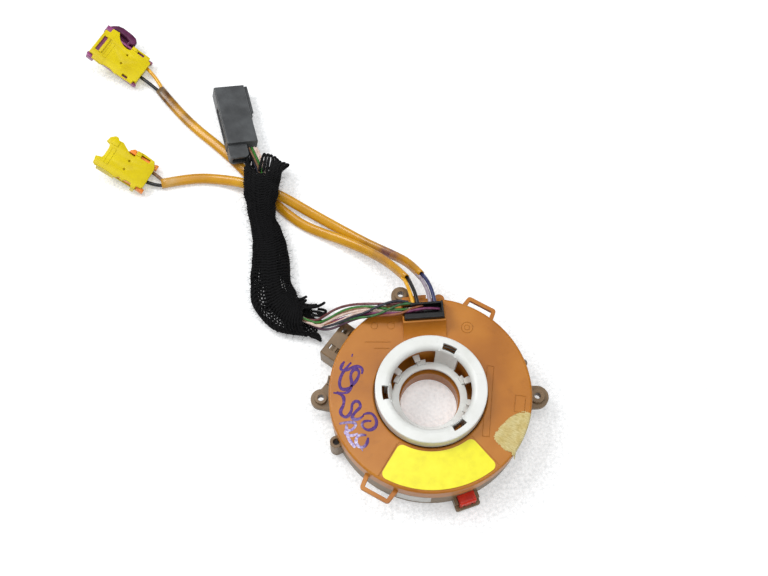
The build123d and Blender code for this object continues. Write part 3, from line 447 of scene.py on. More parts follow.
def knitYarn(name, colour, sheenTint):  # spun polyester yarn: matt, hairy, its twist shows as slanting lines
    tree, material, place = startMaterial(name, {
        "Roughness": 0.95, "Sheen Weight": 0.1, "Sheen Roughness": 0.5, "Sheen Tint": linear(sheenTint),
        "Specular IOR Level": 0.25}, "along")
    twist = add(tree, "Mapping", {"Rotation": (0, 0, math.radians(35)), "Scale": (6, 1 / (1.1 * mm), 1)},
                {"Vector": place})
    ply = add(tree, "TexWave", {"Scale": 1, "Distortion": 1.5}, {"Vector": twist.outputs["Vector"]})
    shade = spread(tree, ply.outputs["Fac"], [(0.1, colour[0]), (0.8, colour[1])])
    return endMaterial(material, shade, ply.outputs["Fac"], 0.6, 0.12)


sleeve = {
    "spine": [
        (-78.2, 143.6, 9.2), (-79.5, 134, 13.2), (-80.2, 126, 14.4), (-81, 117.5, 11.8),
        (-80.8, 109.5, 8.2), (-79, 102.5, 6.4), (-77.5, 94, 5.4), (-77.3, 84, 5.2), (-78.4, 73, 5.2),
        (-76.3, 61.5, 5.2), (-70.2, 53.6, 5.2), (-62.4, 51, 5), (-54.9, 48.9, 5)],
    "widths": [21, 20.2, 19, 15.6, 14.6, 16.4, 19.2, 20.4, 22, 24.4, 22.6, 19.4, 17.6],
    "heights": [6.8, 7, 7, 7.4, 8.4, 8.6, 8.4, 8.2, 8.2, 8.2, 8.2, 7.8, 7],
    "wales": 19, "courses": 64,
    "yarn": [0.64, 0.64, 0.62, 0.6, 0.6, 0.58, 0.56, 0.54, 0.52, 0.52, 0.54, 0.56, 0.56],
    "samples": 8, "sides": 5, "seed": 7, "swing": 0.3, "reach": 0.62, "lift": 0.42, "overWires": 0.76,
    "near": 4.4,
}
sleeveLine = readLine("sleeveSpine", sleeve["spine"])
sleeveSteps = frames(sleeveLine)
sleeveLength = sleeveSteps[-1][4]


def between(values, share):  # a value along the sleeve, smoothly from station to station
    spot = min(max(share, 0), 0.9999) * (len(values) - 1)
    low = int(spot)
    part = spot - low
    part = part * part * (3 - 2 * part)
    return values[low] + (values[low + 1] - values[low]) * part


def onSleeve(share, turn, lift=0):  # a point of the sleeve's skin, and the skin's normal there
    spot = min(max(share, 0), 1) * (len(sleeveSteps) - 1)
    low = min(int(spot), len(sleeveSteps) - 2)
    part = spot - low
    place = sleeveSteps[low][0].lerp(sleeveSteps[low + 1][0], part)
    side = sleeveSteps[low][2].lerp(sleeveSteps[low + 1][2], part).normalized()
    up = sleeveSteps[low][3].lerp(sleeveSteps[low + 1][3], part).normalized()
    ahead = sleeveSteps[low][1]
    if share > 1:
        place = place + ahead * (share - 1) * sleeveLength
    if share < 0:
        place = place + sleeveSteps[0][1] * share * sleeveLength
    halfWide = between(sleeve["widths"], share) / 2 - 0.9
    halfHigh = between(sleeve["heights"], share) / 2 - 0.6
    soft = 0.45 * noise.noise(Vector((share * 14, math.cos(turn) * 1.2, math.sin(turn) * 1.2)))
    x, z = math.cos(turn), math.sin(turn)
    normal = (side * x / halfWide + up * z / halfHigh).normalized()
    reach = side * x * (halfWide + soft) + up * z * (halfHigh + soft * 0.4)
    spotOut = place + reach * mm + normal * lift * mm
    if spotOut.z < 0.5 * mm:
        spotOut.z = 0.5 * mm
    return spotOut, normal


def addTube(vertices, faces, uv, points, normals, radii, sides):  # a yarn's round skin along its points
    start = len(vertices)
    run = 0
    for i, place in enumerate(points):
        ahead = aheadAt(points, i)
        side = ahead.cross(normals[i]).normalized()
        up = side.cross(ahead)
        if i:
            run += (place - points[i - 1]).length
        for k in range(sides):
            turn = 2 * math.pi * k / sides
            vertices.append(place + (side * math.cos(turn) + up * math.sin(turn)) * radii[i] * mm)
            uv.append((k / sides, run))
    tubeFaces(faces, start, len(points), sides)


def nearWires(place):  # over the bundle the stitches are pushed together, so nothing shows between them
    gap = min(math.hypot(place.x - x * mm, place.y - y * mm) for x, y, z in insideRoute)
    return gap < sleeve["near"] * mm


insideRoute = []
for (x, y, z), (u, v, w) in zip(toPlug, toPlug[1:]):
    insideRoute += [(x + (u - x) * k / 5, y + (v - y) * k / 5, z) for k in range(5)]
random.seed(sleeve["seed"])
vertices, faces, uv = [], [], []
yarnPoints, yarnNormals, yarnRadii = [], [], []
wales, courses, samples = sleeve["wales"], sleeve["courses"], sleeve["samples"]
total = wales * courses * samples
for index in range(total + 1):
    stitch = index / samples
    t = 2 * math.pi * (index % samples) / samples
    course = stitch / wales
    turn = 2 * math.pi * (stitch + sleeve["swing"] * math.sin(2 * t)) / wales
    upperCut = 0.075 * max(0, math.sin(turn)) ** 2
    lowerCut = 0.05 * max(0, math.sin(turn)) + 0.035 * max(0, -math.cos(turn))
    share = upperCut + (course - sleeve["reach"] * math.cos(t)) / courses * (1 - upperCut - lowerCut)
    jitter = 0.35 * noise.noise(Vector((stitch * 0.37, course * 1.7, 3.1)))
    lift = sleeve["lift"] * math.cos(2 * t) + jitter * 0.3
    place, normal = onSleeve(share, turn + jitter * 0.12, lift)
    yarnPoints.append(place)
    yarnNormals.append(normal)
    patch = noise.noise(Vector((place.x * 190, place.y * 190, 2)))
    patch += 0.5 * noise.noise(Vector((stitch * 0.9, 0, 1)))
    radius = between(sleeve["yarn"], share) * (1 + 0.34 * max(-1, min(1, patch * 1.8)))
    yarnRadii.append(max(radius, sleeve["overWires"]) if nearWires(place) else radius)
addTube(vertices, faces, uv, yarnPoints, yarnNormals, yarnRadii, sleeve["sides"])

# where a loop leaves the sleeve: share along, turn in degrees, then length, spread and lean in millimetres
fringe = [
    (0, 28, 6.5, 1.2, -1.5), (0, 8, 5, 1, -1), (0.045, 88, 15, 1.5, 0.2), (0.045, 100, 14.6, 1.5, 0.3),
    (0.045, 112, 14, 1.5, 0.4), (0.045, 124, 13, 1.5, 0.6), (0.045, 137, 11.6, 1.5, 0.8),
    (0.045, 150, 10, 1.5, 1.4), (0.04, 162, 8.4, 1.5, 3.2), (0.03, 178, 7, 1.5, 3.8), (0, -40, 6, 1.3, 1),
    (0, -80, 6, 1.3, 0), (0.97, 168, 7.5, 1.5, -4.5), (0.95, 150, 6.5, 1.4, -4), (0.99, 120, 5.5, 1.4, -2),
    (1, 20, 5, 1.5, 1.5), (1, 0, 5.5, 1.6, 1.6), (1, -24, 5, 1.6, 1), (1, -150, 4.5, 1.4, -1.5),
    (1, -100, 4, 1.4, 0), (0.9, 158, 4.5, 1.2, -3.6), (0.86, 170, 4, 1.1, -3.4),
]
for share, degreesRound, reach, spreadOut, lean in fringe:
    turn = math.radians(degreesRound)
    base, normal = onSleeve(share, turn)
    away = -sleeveSteps[0][1] if share < 0.5 else sleeveSteps[-1][1]
    sideways = normal.cross(away).normalized()
    outward = Vector((normal.x, normal.y, 0))
    loop, normals, radii = [], [], []
    for k in range(15):
        s = k / 14
        arch = math.sin(math.pi * s)
        across = math.cos(math.pi * s) * spreadOut * (0.75 + 0.35 * arch)
        bend = abs(lean) * arch ** 2
        wander = 0.5 * noise.noise(Vector((degreesRound, s * 3, share * 9)))
        spot = base + (away * (reach * arch ** 0.8 - 1.2) + sideways * (across + wander)) * mm
        spot += outward * bend * mm
        spot.z = max(spot.z - 0.5 * mm * arch, 0.7 * mm)
        loop.append(spot)
        normals.append(normal if abs(normal.z) > 0.2 else (normal + zAxis * 0.5).normalized())
        radii.append(0.74)
    addTube(vertices, faces, uv, loop, normals, radii, 6)

for degreesRound in (168, 176, 184, 192, -12, -3, 6):  # yarns along both folds of the flattened sleeve
    points, normals, radii = [], [], []
    for k in range(161):
        share = 0.03 + 0.94 * k / 160
        wander = 0.16 * noise.noise(Vector((share * 22, degreesRound, 0)))
        place, normal = onSleeve(share, math.radians(degreesRound) + wander, 0.25)
        points.append(place)
        normals.append(zAxis)
        radii.append(0.5)
    addTube(vertices, faces, uv, points, normals, radii, 6)

for count in range(1500):  # stray fibres, drawn a little thicker than the real ones so that they show
    share, turn = random.random(), random.uniform(-0.5, math.pi + 0.5)
    base, normal = onSleeve(share, turn, 0.3)
    drift = Vector((random.uniform(-1, 1), random.uniform(-1, 1), random.uniform(-0.3, 0.6)))
    first = base + (normal * random.uniform(0.4, 1.1) + drift * 0.6) * mm
    tip = first + (normal * random.uniform(0.1, 0.9) + drift * 1.5) * mm
    tip.z = max(tip.z, 0.2 * mm)
    addTube(vertices, faces, uv, [base, first, tip], [yAxis] * 3, [0.07, 0.06, 0.04], 3)
blackYarn = knitYarn("blackPolyesterYarn", ("060607", "111113"), "4A4A50")
knitSleeve = meshPiece("knitSleeve", vertices, faces, blackYarn, uv)
settle(knitSleeve, "rotor", "knit", "knit_sleeve")
print("stage: knitted sleeve,", len(faces), "faces")

for number, (wire, points) in enumerate(wireCords):
    line = readLine(wire.name + "Line", points)
print("stage: harness")

# finishes for the pieces that come straight from the frame

finishes = {
    # glass-filled PBT, moulded: satin, with a fine grain and faint flow clouds
    "coverPbt": {"roughness": 0.36, "mottle": 26, "dark": "A56212", "colour": "B36E18", "pale": "BF7B25",
                 "soil": "8A5A34", "grain": 0.5, "edge": 0.5, "relief": 0.22, "gloss": 0.38},
    # the same resin in olive brown, with more dust in its corners
    "basePbt": {"roughness": 0.42, "mottle": 12, "dark": "6E5739", "colour": "7D6546", "pale": "8C7454",
                "soil": "5E5244", "grain": 0.6, "edge": 0.3, "relief": 0.25, "dirt": 0.35},
    # acetal, natural white: smooth and slightly waxy, with grey handling marks
    "ringAcetal": {"roughness": 0.3, "mottle": 14, "dark": "D8DAD5", "colour": "E1E3E0", "pale": "E8EAE7",
                   "soil": "8E8F88", "grain": 0.8, "edge": 0.35, "relief": 0.08, "dirt": 0.3, "ior": 1.48},
    # nylon in safety red, moulded glossy
    "redNylon": {"roughness": 0.28, "mottle": 5, "dark": "BC1C0A", "colour": "D62C14", "pale": "E43C22",
                 "soil": "74261C", "grain": 0.5, "edge": 0.25, "relief": 0.2, "gloss": 0.3},
    # PBT in airbag yellow, moulded glossy: even colour, soft edges
    "connectorPbt": {"roughness": 0.34, "mottle": 9, "dark": "D2BA00", "colour": "DDC700", "pale": "E6D200",
                     "soil": "9C8A28", "grain": 0.4, "edge": 0.3, "relief": 0.12, "dirt": 0.25, "gloss": 0.3},
    "lockPurplePbt": {"roughness": 0.3, "mottle": 6, "dark": "7A2E66", "colour": "95407C", "pale": "A85590",
                      "soil": "5E3A54", "grain": 0.4, "edge": 0.25, "relief": 0.12, "coat": 0.15},
    # the lock's purple again, painted darker as shade, for the lever and the web under it
    "shadedLeverPurple": {"roughness": 0.4, "mottle": 6, "dark": "3E1630", "colour": "5A2248", "pale": "702F5C",
                       "soil": "3A2434", "grain": 0.4, "edge": 0.25, "relief": 0.12, "gloss": 0.3},
    "lockOrangePbt": {"roughness": 0.32, "mottle": 6, "dark": "F08418", "colour": "FB942C", "pale": "FFA446",
                      "soil": "A86A38", "grain": 0.4, "edge": 0.25, "relief": 0.12},
    # PBT in charcoal, moulded satin, rubbed a little paler at its edges
    "plugPbt": {"roughness": 0.42, "mottle": 8, "dark": "3A3C3E", "colour": "47494B", "pale": "545759",
                "soil": "6A6258", "grain": 0.5, "edge": 0.35, "relief": 0.25, "dirt": 0.3},
    # black PBT with a clean moulding gloss
    "headerPbt": {"roughness": 0.3, "mottle": 6, "dark": "050506", "colour": "0B0B0C", "pale": "151517",
                  "gloss": 0.3, "soil": "4A453E", "grain": 0.4, "edge": 0.2, "relief": 0.12, "dirt": 0.2},
}
plastics = {name: mouldedPlastic(name, look) for name, look in finishes.items()}


def metal(name, look):  # rolled or plated metal: bright, uneven where it is drawn or rubbed
    tree, material, place = startMaterial(name, {"Metallic": 1, "Roughness": look["roughness"]})
    drawn = add(tree, "Mapping", {"Scale": look["stretch"]}, {"Vector": place})
    wearAndGlare = add(tree, "TexNoise", {"Scale": 1 / (look["patch"] * mm), "Detail": look["detail"]},
               {"Vector": drawn.outputs["Vector"]})
    shade = spread(tree, wearAndGlare.outputs["Fac"], look["colours"])
    return endMaterial(material, shade, wearAndGlare.outputs["Fac"], look["relief"], look["depth"])


def filmCable(name):  # copper strips laminated in amber film: glossy bands up the tape's height
    tree, material, place = startMaterial(name, {
        "Roughness": 0.22, "Coat Weight": 0.4, "Coat Roughness": 0.15})
    strips = add(tree, "TexWave", {"wave_type": "BANDS", "bands_direction": "Z", "Scale": 1 / (10 * mm)},
                 {"Vector": place})
    shade = spread(tree, strips.outputs["Fac"], [(0.35, "6A3A12"), (0.6, "B86A34")])
    return endMaterial(material, shade, strips.outputs["Fac"], 0.2, 0.05)


def labelFilm(name, look):  # polyester label: smooth film, a few bubbles and a scuffed skin
    tree, material, place = startMaterial(name, {"Roughness": look["roughness"], "Specular IOR Level": 0.4})
    scuff = add(tree, "TexNoise", {"Scale": 1 / (look["scuff"] * mm), "Detail": 7, "Roughness": 0.6},
                {"Vector": place})
    shade = spread(tree, scuff.outputs["Fac"],
                   [(0.3, look["dark"]), (0.5, look["colour"]), (0.75, look["pale"])])
    bubbles = add(tree, "TexVoronoi", {"Scale": 1 / (2.6 * mm)}, {"Vector": place})
    low = add(tree, "MapRange", {"From Max": 0.35, "To Min": 1, "To Max": 0},
              {"Value": bubbles.outputs["Distance"]})
    return endMaterial(material, shade, low.outputs["Result"], 0.08, 0.05)


# strip steel with fine lines along the strip, and tin over brass, yellow where it is rubbed through
steel = metal("springSteel", {
    "roughness": 0.3, "stretch": (0.02, 0.02, 1), "patch": 0.25, "detail": 3, "relief": 0.2, "depth": 0.02,
    "colours": [(0.3, "86837C"), (0.7, "B4B1AA")]})
pins = metal("tinnedBrass", {
    "roughness": 0.34, "stretch": (1, 1, 1), "patch": 1.4, "detail": 5, "relief": 0.15, "depth": 0.03,
    "colours": [(0.42, "C9C8C2"), (0.68, "C2AC72")]})
cableFilm = filmCable("laminatedCable")
yellowFilm = labelFilm("yellowLabelFilm", {
    "roughness": 0.34, "scuff": 6, "dark": "E6DC08", "colour": "F0E80C", "pale": "F5EF22"})
paperFilm = labelFilm("paleLabelFilm", {
    "roughness": 0.5, "scuff": 4, "dark": "BDBCB6", "colour": "D2D1CC", "pale": "DEDDD8"})

dressing = {
    "base_housing": "basePbt", "rotor_cover": "coverPbt", "lock_ring": "ringAcetal", "red_lock": "redNylon",
    "tower_connector": "headerPbt", "black_plug": "plugPbt", "plug_cover": "plugPbt",
    "connector_a": "connectorPbt", "connector_b": "connectorPbt", "connector_a_lock": "lockPurplePbt",
    "connector_b_lock": "lockOrangePbt"}
dressing = {node: plastics[finish] for node, finish in dressing.items()}
dressing.update({"lock_spring": steel, "main_socket_pins": pins, "flat_cable": cableFilm,
                 "yellow_label": yellowFilm, "side_sticker": paperFilm})
for node, material in dressing.items():
    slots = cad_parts[node].data.materials
    if not slots:
        slots.append(material)
    for index in range(len(slots)):
        slots[index] = material
print("stage: finishes on the frame's pieces")

# small marks that stand on the cover, the marker scrawl and the torn tape

coverDetail = {
    "top": 24.7, "rim": 51, "rimRound": 1.2, "wall": 0.35, "height": 0.16,
    "rings": [(-25.4, 37.4, 1.9), (-16.9, 36.9, 2), (21.8, 33.1, 3.1), (21.8, 33.1, 1.5)],
    "frames": [(28.2, -6.4, 37, 3.7, 80), (43.8, -9.2, 9, 5.4, 78)],  # middle, length, width, turn
    "stubs": [(-24.3, 28.6, 13, 0.5, -4), (-22.6, 25, 7.5, 0.5, -4)],
    "step": (-24.2, -32.6, 18.6, 0.5, 56),
}


def raisedMark(name, wall, height):  # the flat face being edited becomes a low raised outline, moulded in
    mark = bpy.context.object
    mark.name = name
    bpy.ops.object.transform_apply(location=True, rotation=True, scale=True)
    bpy.ops.object.mode_set(mode="EDIT")
    bpy.ops.mesh.select_all(action="SELECT")
    if wall:
        bpy.ops.mesh.inset(thickness=wall * mm, depth=0)
        bpy.ops.mesh.delete(type="FACE")
        bpy.ops.mesh.select_all(action="SELECT")
    bpy.ops.mesh.extrude_region_move(TRANSFORM_OT_translate={"value": (0, 0, height * mm)})
    bpy.ops.mesh.select_all(action="SELECT")
    bpy.ops.mesh.normals_make_consistent(inside=False)
    bpy.ops.object.mode_set(mode="OBJECT")
    soft = mark.modifiers.new("softEdge", "BEVEL")
    soft.width = 0.07 * mm
    soft.segments = 2
    bpy.ops.object.modifier_apply(modifier=soft.name)
    mark.data.materials.append(plastics["coverPbt"])
    settle(mark, "rotor", "cover")
    return mark


for number, (x, y, radius) in enumerate(coverDetail["rings"]):
    bpy.ops.mesh.primitive_circle_add(vertices=48, radius=radius * mm, fill_type="NGON",
                                      location=(x * mm, y * mm, (coverDetail["top"] - 0.02) * mm))
    raisedMark(f"raisedRing{number + 1}", coverDetail["wall"], coverDetail["height"])
plain = [frameSpot + (coverDetail["wall"],) for frameSpot in coverDetail["frames"]]
plain += [spot + (0,) for spot in coverDetail["stubs"] + [coverDetail["step"]]]
for number, (x, y, length, width, turn, wall) in enumerate(plain):
    bpy.ops.mesh.primitive_plane_add(size=1, location=(x * mm, y * mm, (coverDetail["top"] - 0.02) * mm),
                                     rotation=(0, 0, math.radians(turn)))
    bpy.context.object.scale = (length * mm, width * mm, 1)
    raisedMark(f"raisedLine{number + 1}", wall, coverDetail["height"])
print("stage: raised marks on the cover")


def markerInk(name):  # alcohol marker on glossy plastic: thin, shiny, patchy where the pen skipped, and painted pale towards its lower left as a painted glare
    tree, material, place = startMaterial(name, {"Roughness": 0.4, "Specular IOR Level": 0.3})
    skips = add(tree, "TexNoise", {"Scale": 1 / (1.3 * mm), "Detail": 5}, {"Vector": place})
    ink = spread(tree, skips.outputs["Fac"], [(0.34, "44206E"), (0.55, "522A7C"), (0.7, "68448E")])
    # painted glare: over the scrawl's lower left part the ink is mixed towards pale lavender and white, a
    # painted reflection of the lamps
    wearAndGlare = spread(tree, skips.outputs["Fac"], [(0.36, "8E78BE"), (0.56, "C9BEE2"), (0.66, "EDE8F6")])
    axes = add(tree, "SeparateXYZ", None, {"Vector": place})
    down = add(tree, "MapRange", {"From Min": -9 * mm, "From Max": -17 * mm}, {"Value": axes.outputs["Y"]})
    out = add(tree, "MapRange", {"From Min": -34 * mm, "From Max": -38 * mm}, {"Value": axes.outputs["X"]})
    both = add(tree, "Math", {"operation": "MULTIPLY"},
               {0: down.outputs["Result"], 1: out.outputs["Result"]})
    mixed = add(tree, "Mix", {"data_type": "RGBA"}, {0: both.outputs[0], 6: ink, 7: wearAndGlare})
    return endMaterial(material, mixed.outputs[2], skips.outputs["Fac"], 0.15, 0.03)


# an aimless tangle of loops that spells nothing
scrawl = {
    "width": 1.8, "film": 0.03, "seed": 21,
    "strokes": [
        [(-41.8, 19.4), (-44.9, 15.6), (-41.6, 14.2), (-36.4, 16.9), (-32.4, 15), (-33.6, 12.2)],
        [(-38.4, 18.6), (-42.4, 15), (-45.3, 9), (-44.6, 4.6), (-40.4, 4.8), (-36.2, 9), (-34.4, 13.4),
         (-36.8, 15.6), (-39.6, 12.2), (-38.4, 6.4), (-42.2, 1.8), (-46.8, 3.6)],
        [(-48.4, 3.4), (-43.6, 2.6), (-43.2, -2.6), (-46.2, -7.2), (-43, -10.4), (-39.9, -7),
         (-39.6, -2.6), (-36.4, -1.4), (-34.9, -4.8), (-38.4, -7.4), (-40.6, -10.6), (-36.6, -11.6),
         (-34.2, -9.4)],
        [(-46.4, -12.8), (-41.4, -12), (-37.6, -13.4), (-40.4, -16.6), (-44.6, -16.8), (-41.6, -20),
         (-37.6, -18.4)],
        [(-42.9, -13.4), (-43.4, -18.6), (-40.9, -23.6), (-39.4, -25.4)],
        [(-34.4, -9), (-30.8, -7.6), (-27.9, -11.6), (-28.3, -15.8), (-32.4, -17.6), (-35.8, -14.8),
         (-34.2, -11.8), (-30.6, -12.6)],
        [(-33.6, -19.6), (-37.2, -18.6), (-39.4, -22.4), (-37.2, -26), (-33.4, -24.6), (-32.8, -20.8)],
        [(-38, 22.5), (-37.4, 22.3)], [(-36.4, -26.9), (-35.9, -26.7)]],
}
random.seed(scrawl["seed"])
vertices, faces, uv = [], [], []
for number, stroke in enumerate(scrawl["strokes"]):
    if len(stroke) == 2:
        stroke = [stroke[0], tuple((a + b) / 2 for a, b in zip(*stroke)), stroke[1]]
    low = coverDetail["top"] + 0.012 * number
    line = readLine(f"markerStroke{number}", [(x, y, low) for x, y in stroke])
    start = len(vertices)
    run = 0
    for i, place in enumerate(line):
        ahead = aheadAt(line, i)
        side = ahead.cross(zAxis)
        if i:
            run += (place - line[i - 1]).length
        share = i / (len(line) - 1)
        half = scrawl["width"] / 2 * (0.86 + 0.3 * noise.noise(Vector((run * 260, number * 7.1, 0))))
        half *= min(1, 0.55 + 6 * min(share, 1 - share))
        for across, up in ((-1, 0), (-0.85, scrawl["film"]), (0.85, scrawl["film"]), (1, 0)):
            vertices.append(place + side * across * half * mm + zAxis * up * mm)
            uv.append((across, run))
    for i in range(len(line) - 1):
        for k in range(4):
            a, b, n = start + 4 * i, start + 4 * (i + 1), (k + 1) % 4
            faces.append((a + n, a + k, b + k, b + n))
    faces.append(tuple(range(start, start + 4)))
    faces.append(tuple(reversed(range(len(vertices) - 4, len(vertices)))))
markerScrawl = meshPiece("markerScrawl", vertices, faces, markerInk("purpleMarkerInk"), uv)
settle(markerScrawl, "rotor", "purple_plastic")
print("stage: marker scrawl")


# torn masking tape, stuck over the cover's rim

def crepePaper(name):  # creped paper tape: straw yellow, matt, finely wrinkled, paler and hairy where it tore
    tree, material, place = startMaterial(name, {
        "Roughness": 0.8, "Sheen Weight": 0.15, "Sheen Roughness": 0.6}, "along")
    crepe = add(tree, "Mapping", {"Rotation": (0, 0, math.radians(28)), "Scale": (1, 0.22, 1)},
                {"Vector": place})
    wrinkle = add(tree, "TexNoise", {"Scale": 1 / (0.55 * mm), "Detail": 4, "Roughness": 0.6},
                  {"Vector": crepe.outputs["Vector"]})
    stain = add(tree, "TexNoise", {"Scale": 1 / (5 * mm), "Detail": 3}, {"Vector": place})
    paper = spread(tree, wrinkle.outputs["Fac"], [(0.3, "B5A66C"), (0.5, "CDBF86"), (0.7, "DDD2A2")])
    tint = spread(tree, stain.outputs["Fac"], [(0.35, "F2E8CC"), (0.65, "FFFFFF")])
    mixed = add(tree, "Mix", {"data_type": "RGBA", "blend_type": "MULTIPLY", 0: 1}, {6: paper, 7: tint})
    return endMaterial(material, mixed.outputs[2], wrinkle.outputs["Fac"], 0.5, 0.12)


# its outline: angle round the column in degrees, then the distance along the cover's skin from its middle
tape = {
    "cell": 0.32, "thick": 0.16, "seed": 5, "start": 37, "round": 46, "turn": 14, "flap": (20.5, 47),
    "span": (26, 20),
    "outline": [
        (-42.2, 39), (-39.6, 38), (-36.6, 37.8), (-34.6, 38.6), (-33.4, 38), (-30, 38.6), (-27.4, 39.6),
        (-25.6, 39.8), (-22.6, 41), (-20.6, 42.4), (-17.6, 45), (-15.9, 47.4), (-16.4, 50.4), (-18.2, 54),
        (-22, 55.4), (-30, 55.8), (-37, 56), (-42.4, 55.6), (-43.6, 53), (-42.6, 49.6), (-43.8, 46),
        (-43, 42)],
}


def overRim(distance, degreesRound, lift):  # a point on the cover's skin, out over its rounded rim and down
    top, rim, rimRound = (coverDetail[key] for key in ("top", "rim", "rimRound"))
    flat, arc = rim - rimRound, rimRound * math.pi / 2
    if distance < flat:
        radius, height = distance, top + lift
    elif distance < flat + arc:
        turn = (distance - flat) / rimRound
        radius = flat + (rimRound + lift) * math.sin(turn)
        height = top - rimRound + (rimRound + lift) * math.cos(turn)
    else:
        radius, height = rim + lift, top - rimRound - (distance - flat - arc)
    angle = math.radians(degreesRound)
    return Vector((radius * math.cos(angle), radius * math.sin(angle), height)) * mm


def insideOutline(x, y, outline):
    crossed = False
    for (x1, y1), (x2, y2) in zip(outline, outline[1:] + outline[:1]):
        if (y1 > y) != (y2 > y) and x < (x2 - x1) * (y - y1) / (y2 - y1) + x1:
            crossed = not crossed
    return crossed


random.seed(tape["seed"])
cell = tape["cell"]
spots, vertices, faces, uv = {}, [], [], []


def tapeWay(i, j):  # a spot of the paper's fine grid: how far along and out, and its angle round the column
    along, out = i * cell, tape["start"] + j * cell
    return along, out, -math.degrees(along / tape["round"]) - tape["turn"]


def tapeSpot(i, j):  # one shared corner of the grid
    if (i, j) not in spots:
        along, out, degreesRound = tapeWay(i, j)
        ripple = noise.noise(Vector((along * 0.45, out * 0.45, 0.7)))
        lift = 0.07 + 0.1 * abs(ripple)
        flap = max(0, (along - tape["flap"][0]) / 3.5) * max(0, (out - tape["flap"][1]) / 6)
        spots[(i, j)] = len(vertices)
        place = overRim(out, degreesRound, lift + 1.5 * flap)
        vertices.append(place)
        uv.append((along * mm, out * mm))
    return spots[(i, j)]


for i in range(int(tape["span"][0] / cell)):
    for j in range(int(tape["span"][1] / cell)):
        along, out, degreesRound = tapeWay(i + 0.5, j + 0.5)
        rough = 0.55 * noise.noise(Vector((along * 1.1, out * 1.1, 4))) + random.uniform(-0.22, 0.22)
        if insideOutline(degreesRound + rough * 1.1, out + rough, tape["outline"]):
            faces.append([tapeSpot(i + a, j + b) for a, b in ((0, 0), (0, 1), (1, 1), (1, 0))])
tornTape = meshPiece("tornTape", vertices, faces, crepePaper("strawCrepePaper"), uv)
choose(tornTape)
body = tornTape.modifiers.new("paperBody", "SOLIDIFY")
body.thickness = tape["thick"] * mm
body.offset = 1
bpy.ops.object.modifier_apply(modifier=body.name)
settle(tornTape, "rotor", "tape", "tape_remnant")
print("stage: torn tape,", len(tornTape.data.polygons), "faces")


# the two yellow connectors, nose down as they lie, each with its coloured lock

def plate(outlines, low, high, edge):  # a flat outline, with its holes, made solid with softened edges
    curve = bpy.data.curves.new("plateCurve", "CURVE")
    curve.dimensions = "2D"
    curve.fill_mode = "BOTH"
    curve.extrude = ((high - low) / 2 - edge) * mm
    curve.bevel_depth = edge * mm
    curve.bevel_resolution = 2
    curve.offset = -edge * mm
    for outline in outlines:
        spline = curve.splines.new("POLY")
        spline.points.add(len(outline) - 1)
        for point, (x, y) in zip(spline.points, outline):
            point.co = (x * mm, y * mm, 0, 1)
        spline.use_cyclic_u = True
    choose(newPiece("plate", curve))
    bpy.ops.object.convert(target="MESH")
    piece = bpy.context.object
    bpy.ops.object.mode_set(mode="EDIT")
    bpy.ops.mesh.select_all(action="SELECT")
    bpy.ops.mesh.remove_doubles(threshold=0.002 * mm)
    bpy.ops.mesh.normals_make_consistent(inside=False)
    bpy.ops.object.mode_set(mode="OBJECT")
    piece.location = (0, 0, (low + high) / 2 * mm)
    return piece


def bothSides(outline):  # the same outline on the left and on the right
    return [outline, [(x, -y) for x, y in reversed(outline)]]


def boxOutline(back, front, right, left):
    return [(back, right), (front, right), (front, left), (back, left)]


def block(back, front, right, left, low, high, edge):
    return plate([boxOutline(back, front, right, left)], low, high, edge)


def roundHole(x, y, radius):
    turns = [-math.pi * k / 6 for k in range(12)]
    return [(x + radius * math.cos(t), y + radius * math.sin(t)) for t in turns]


def layDown(plates, name, place, finish, body, slot, node):  # joined, laid in its place and dressed
    choose(*plates)
    bpy.ops.object.transform_apply(location=True, rotation=True, scale=True)
    bpy.ops.object.join()
    piece = bpy.context.object
    piece.name = name
    yaw, pitch = math.radians(place["yaw"]), math.radians(place["pitch"])
    rise = place["half"] * math.sin(pitch) + 0.05
    spot = Matrix.Translation(Vector((*place["spot"], rise)) * mm)
    piece.matrix_world = spot @ Matrix.Rotation(yaw, 4, "Z") @ Matrix.Rotation(-pitch, 4, "Y")
    bpy.ops.object.transform_apply(location=True, rotation=True, scale=True)
    bpy.ops.object.shade_smooth_by_angle(angle=math.radians(35))
    piece.data.materials.clear()
    piece.data.materials.append(plastics[finish])
    settle(piece, body, slot, node)
    return piece


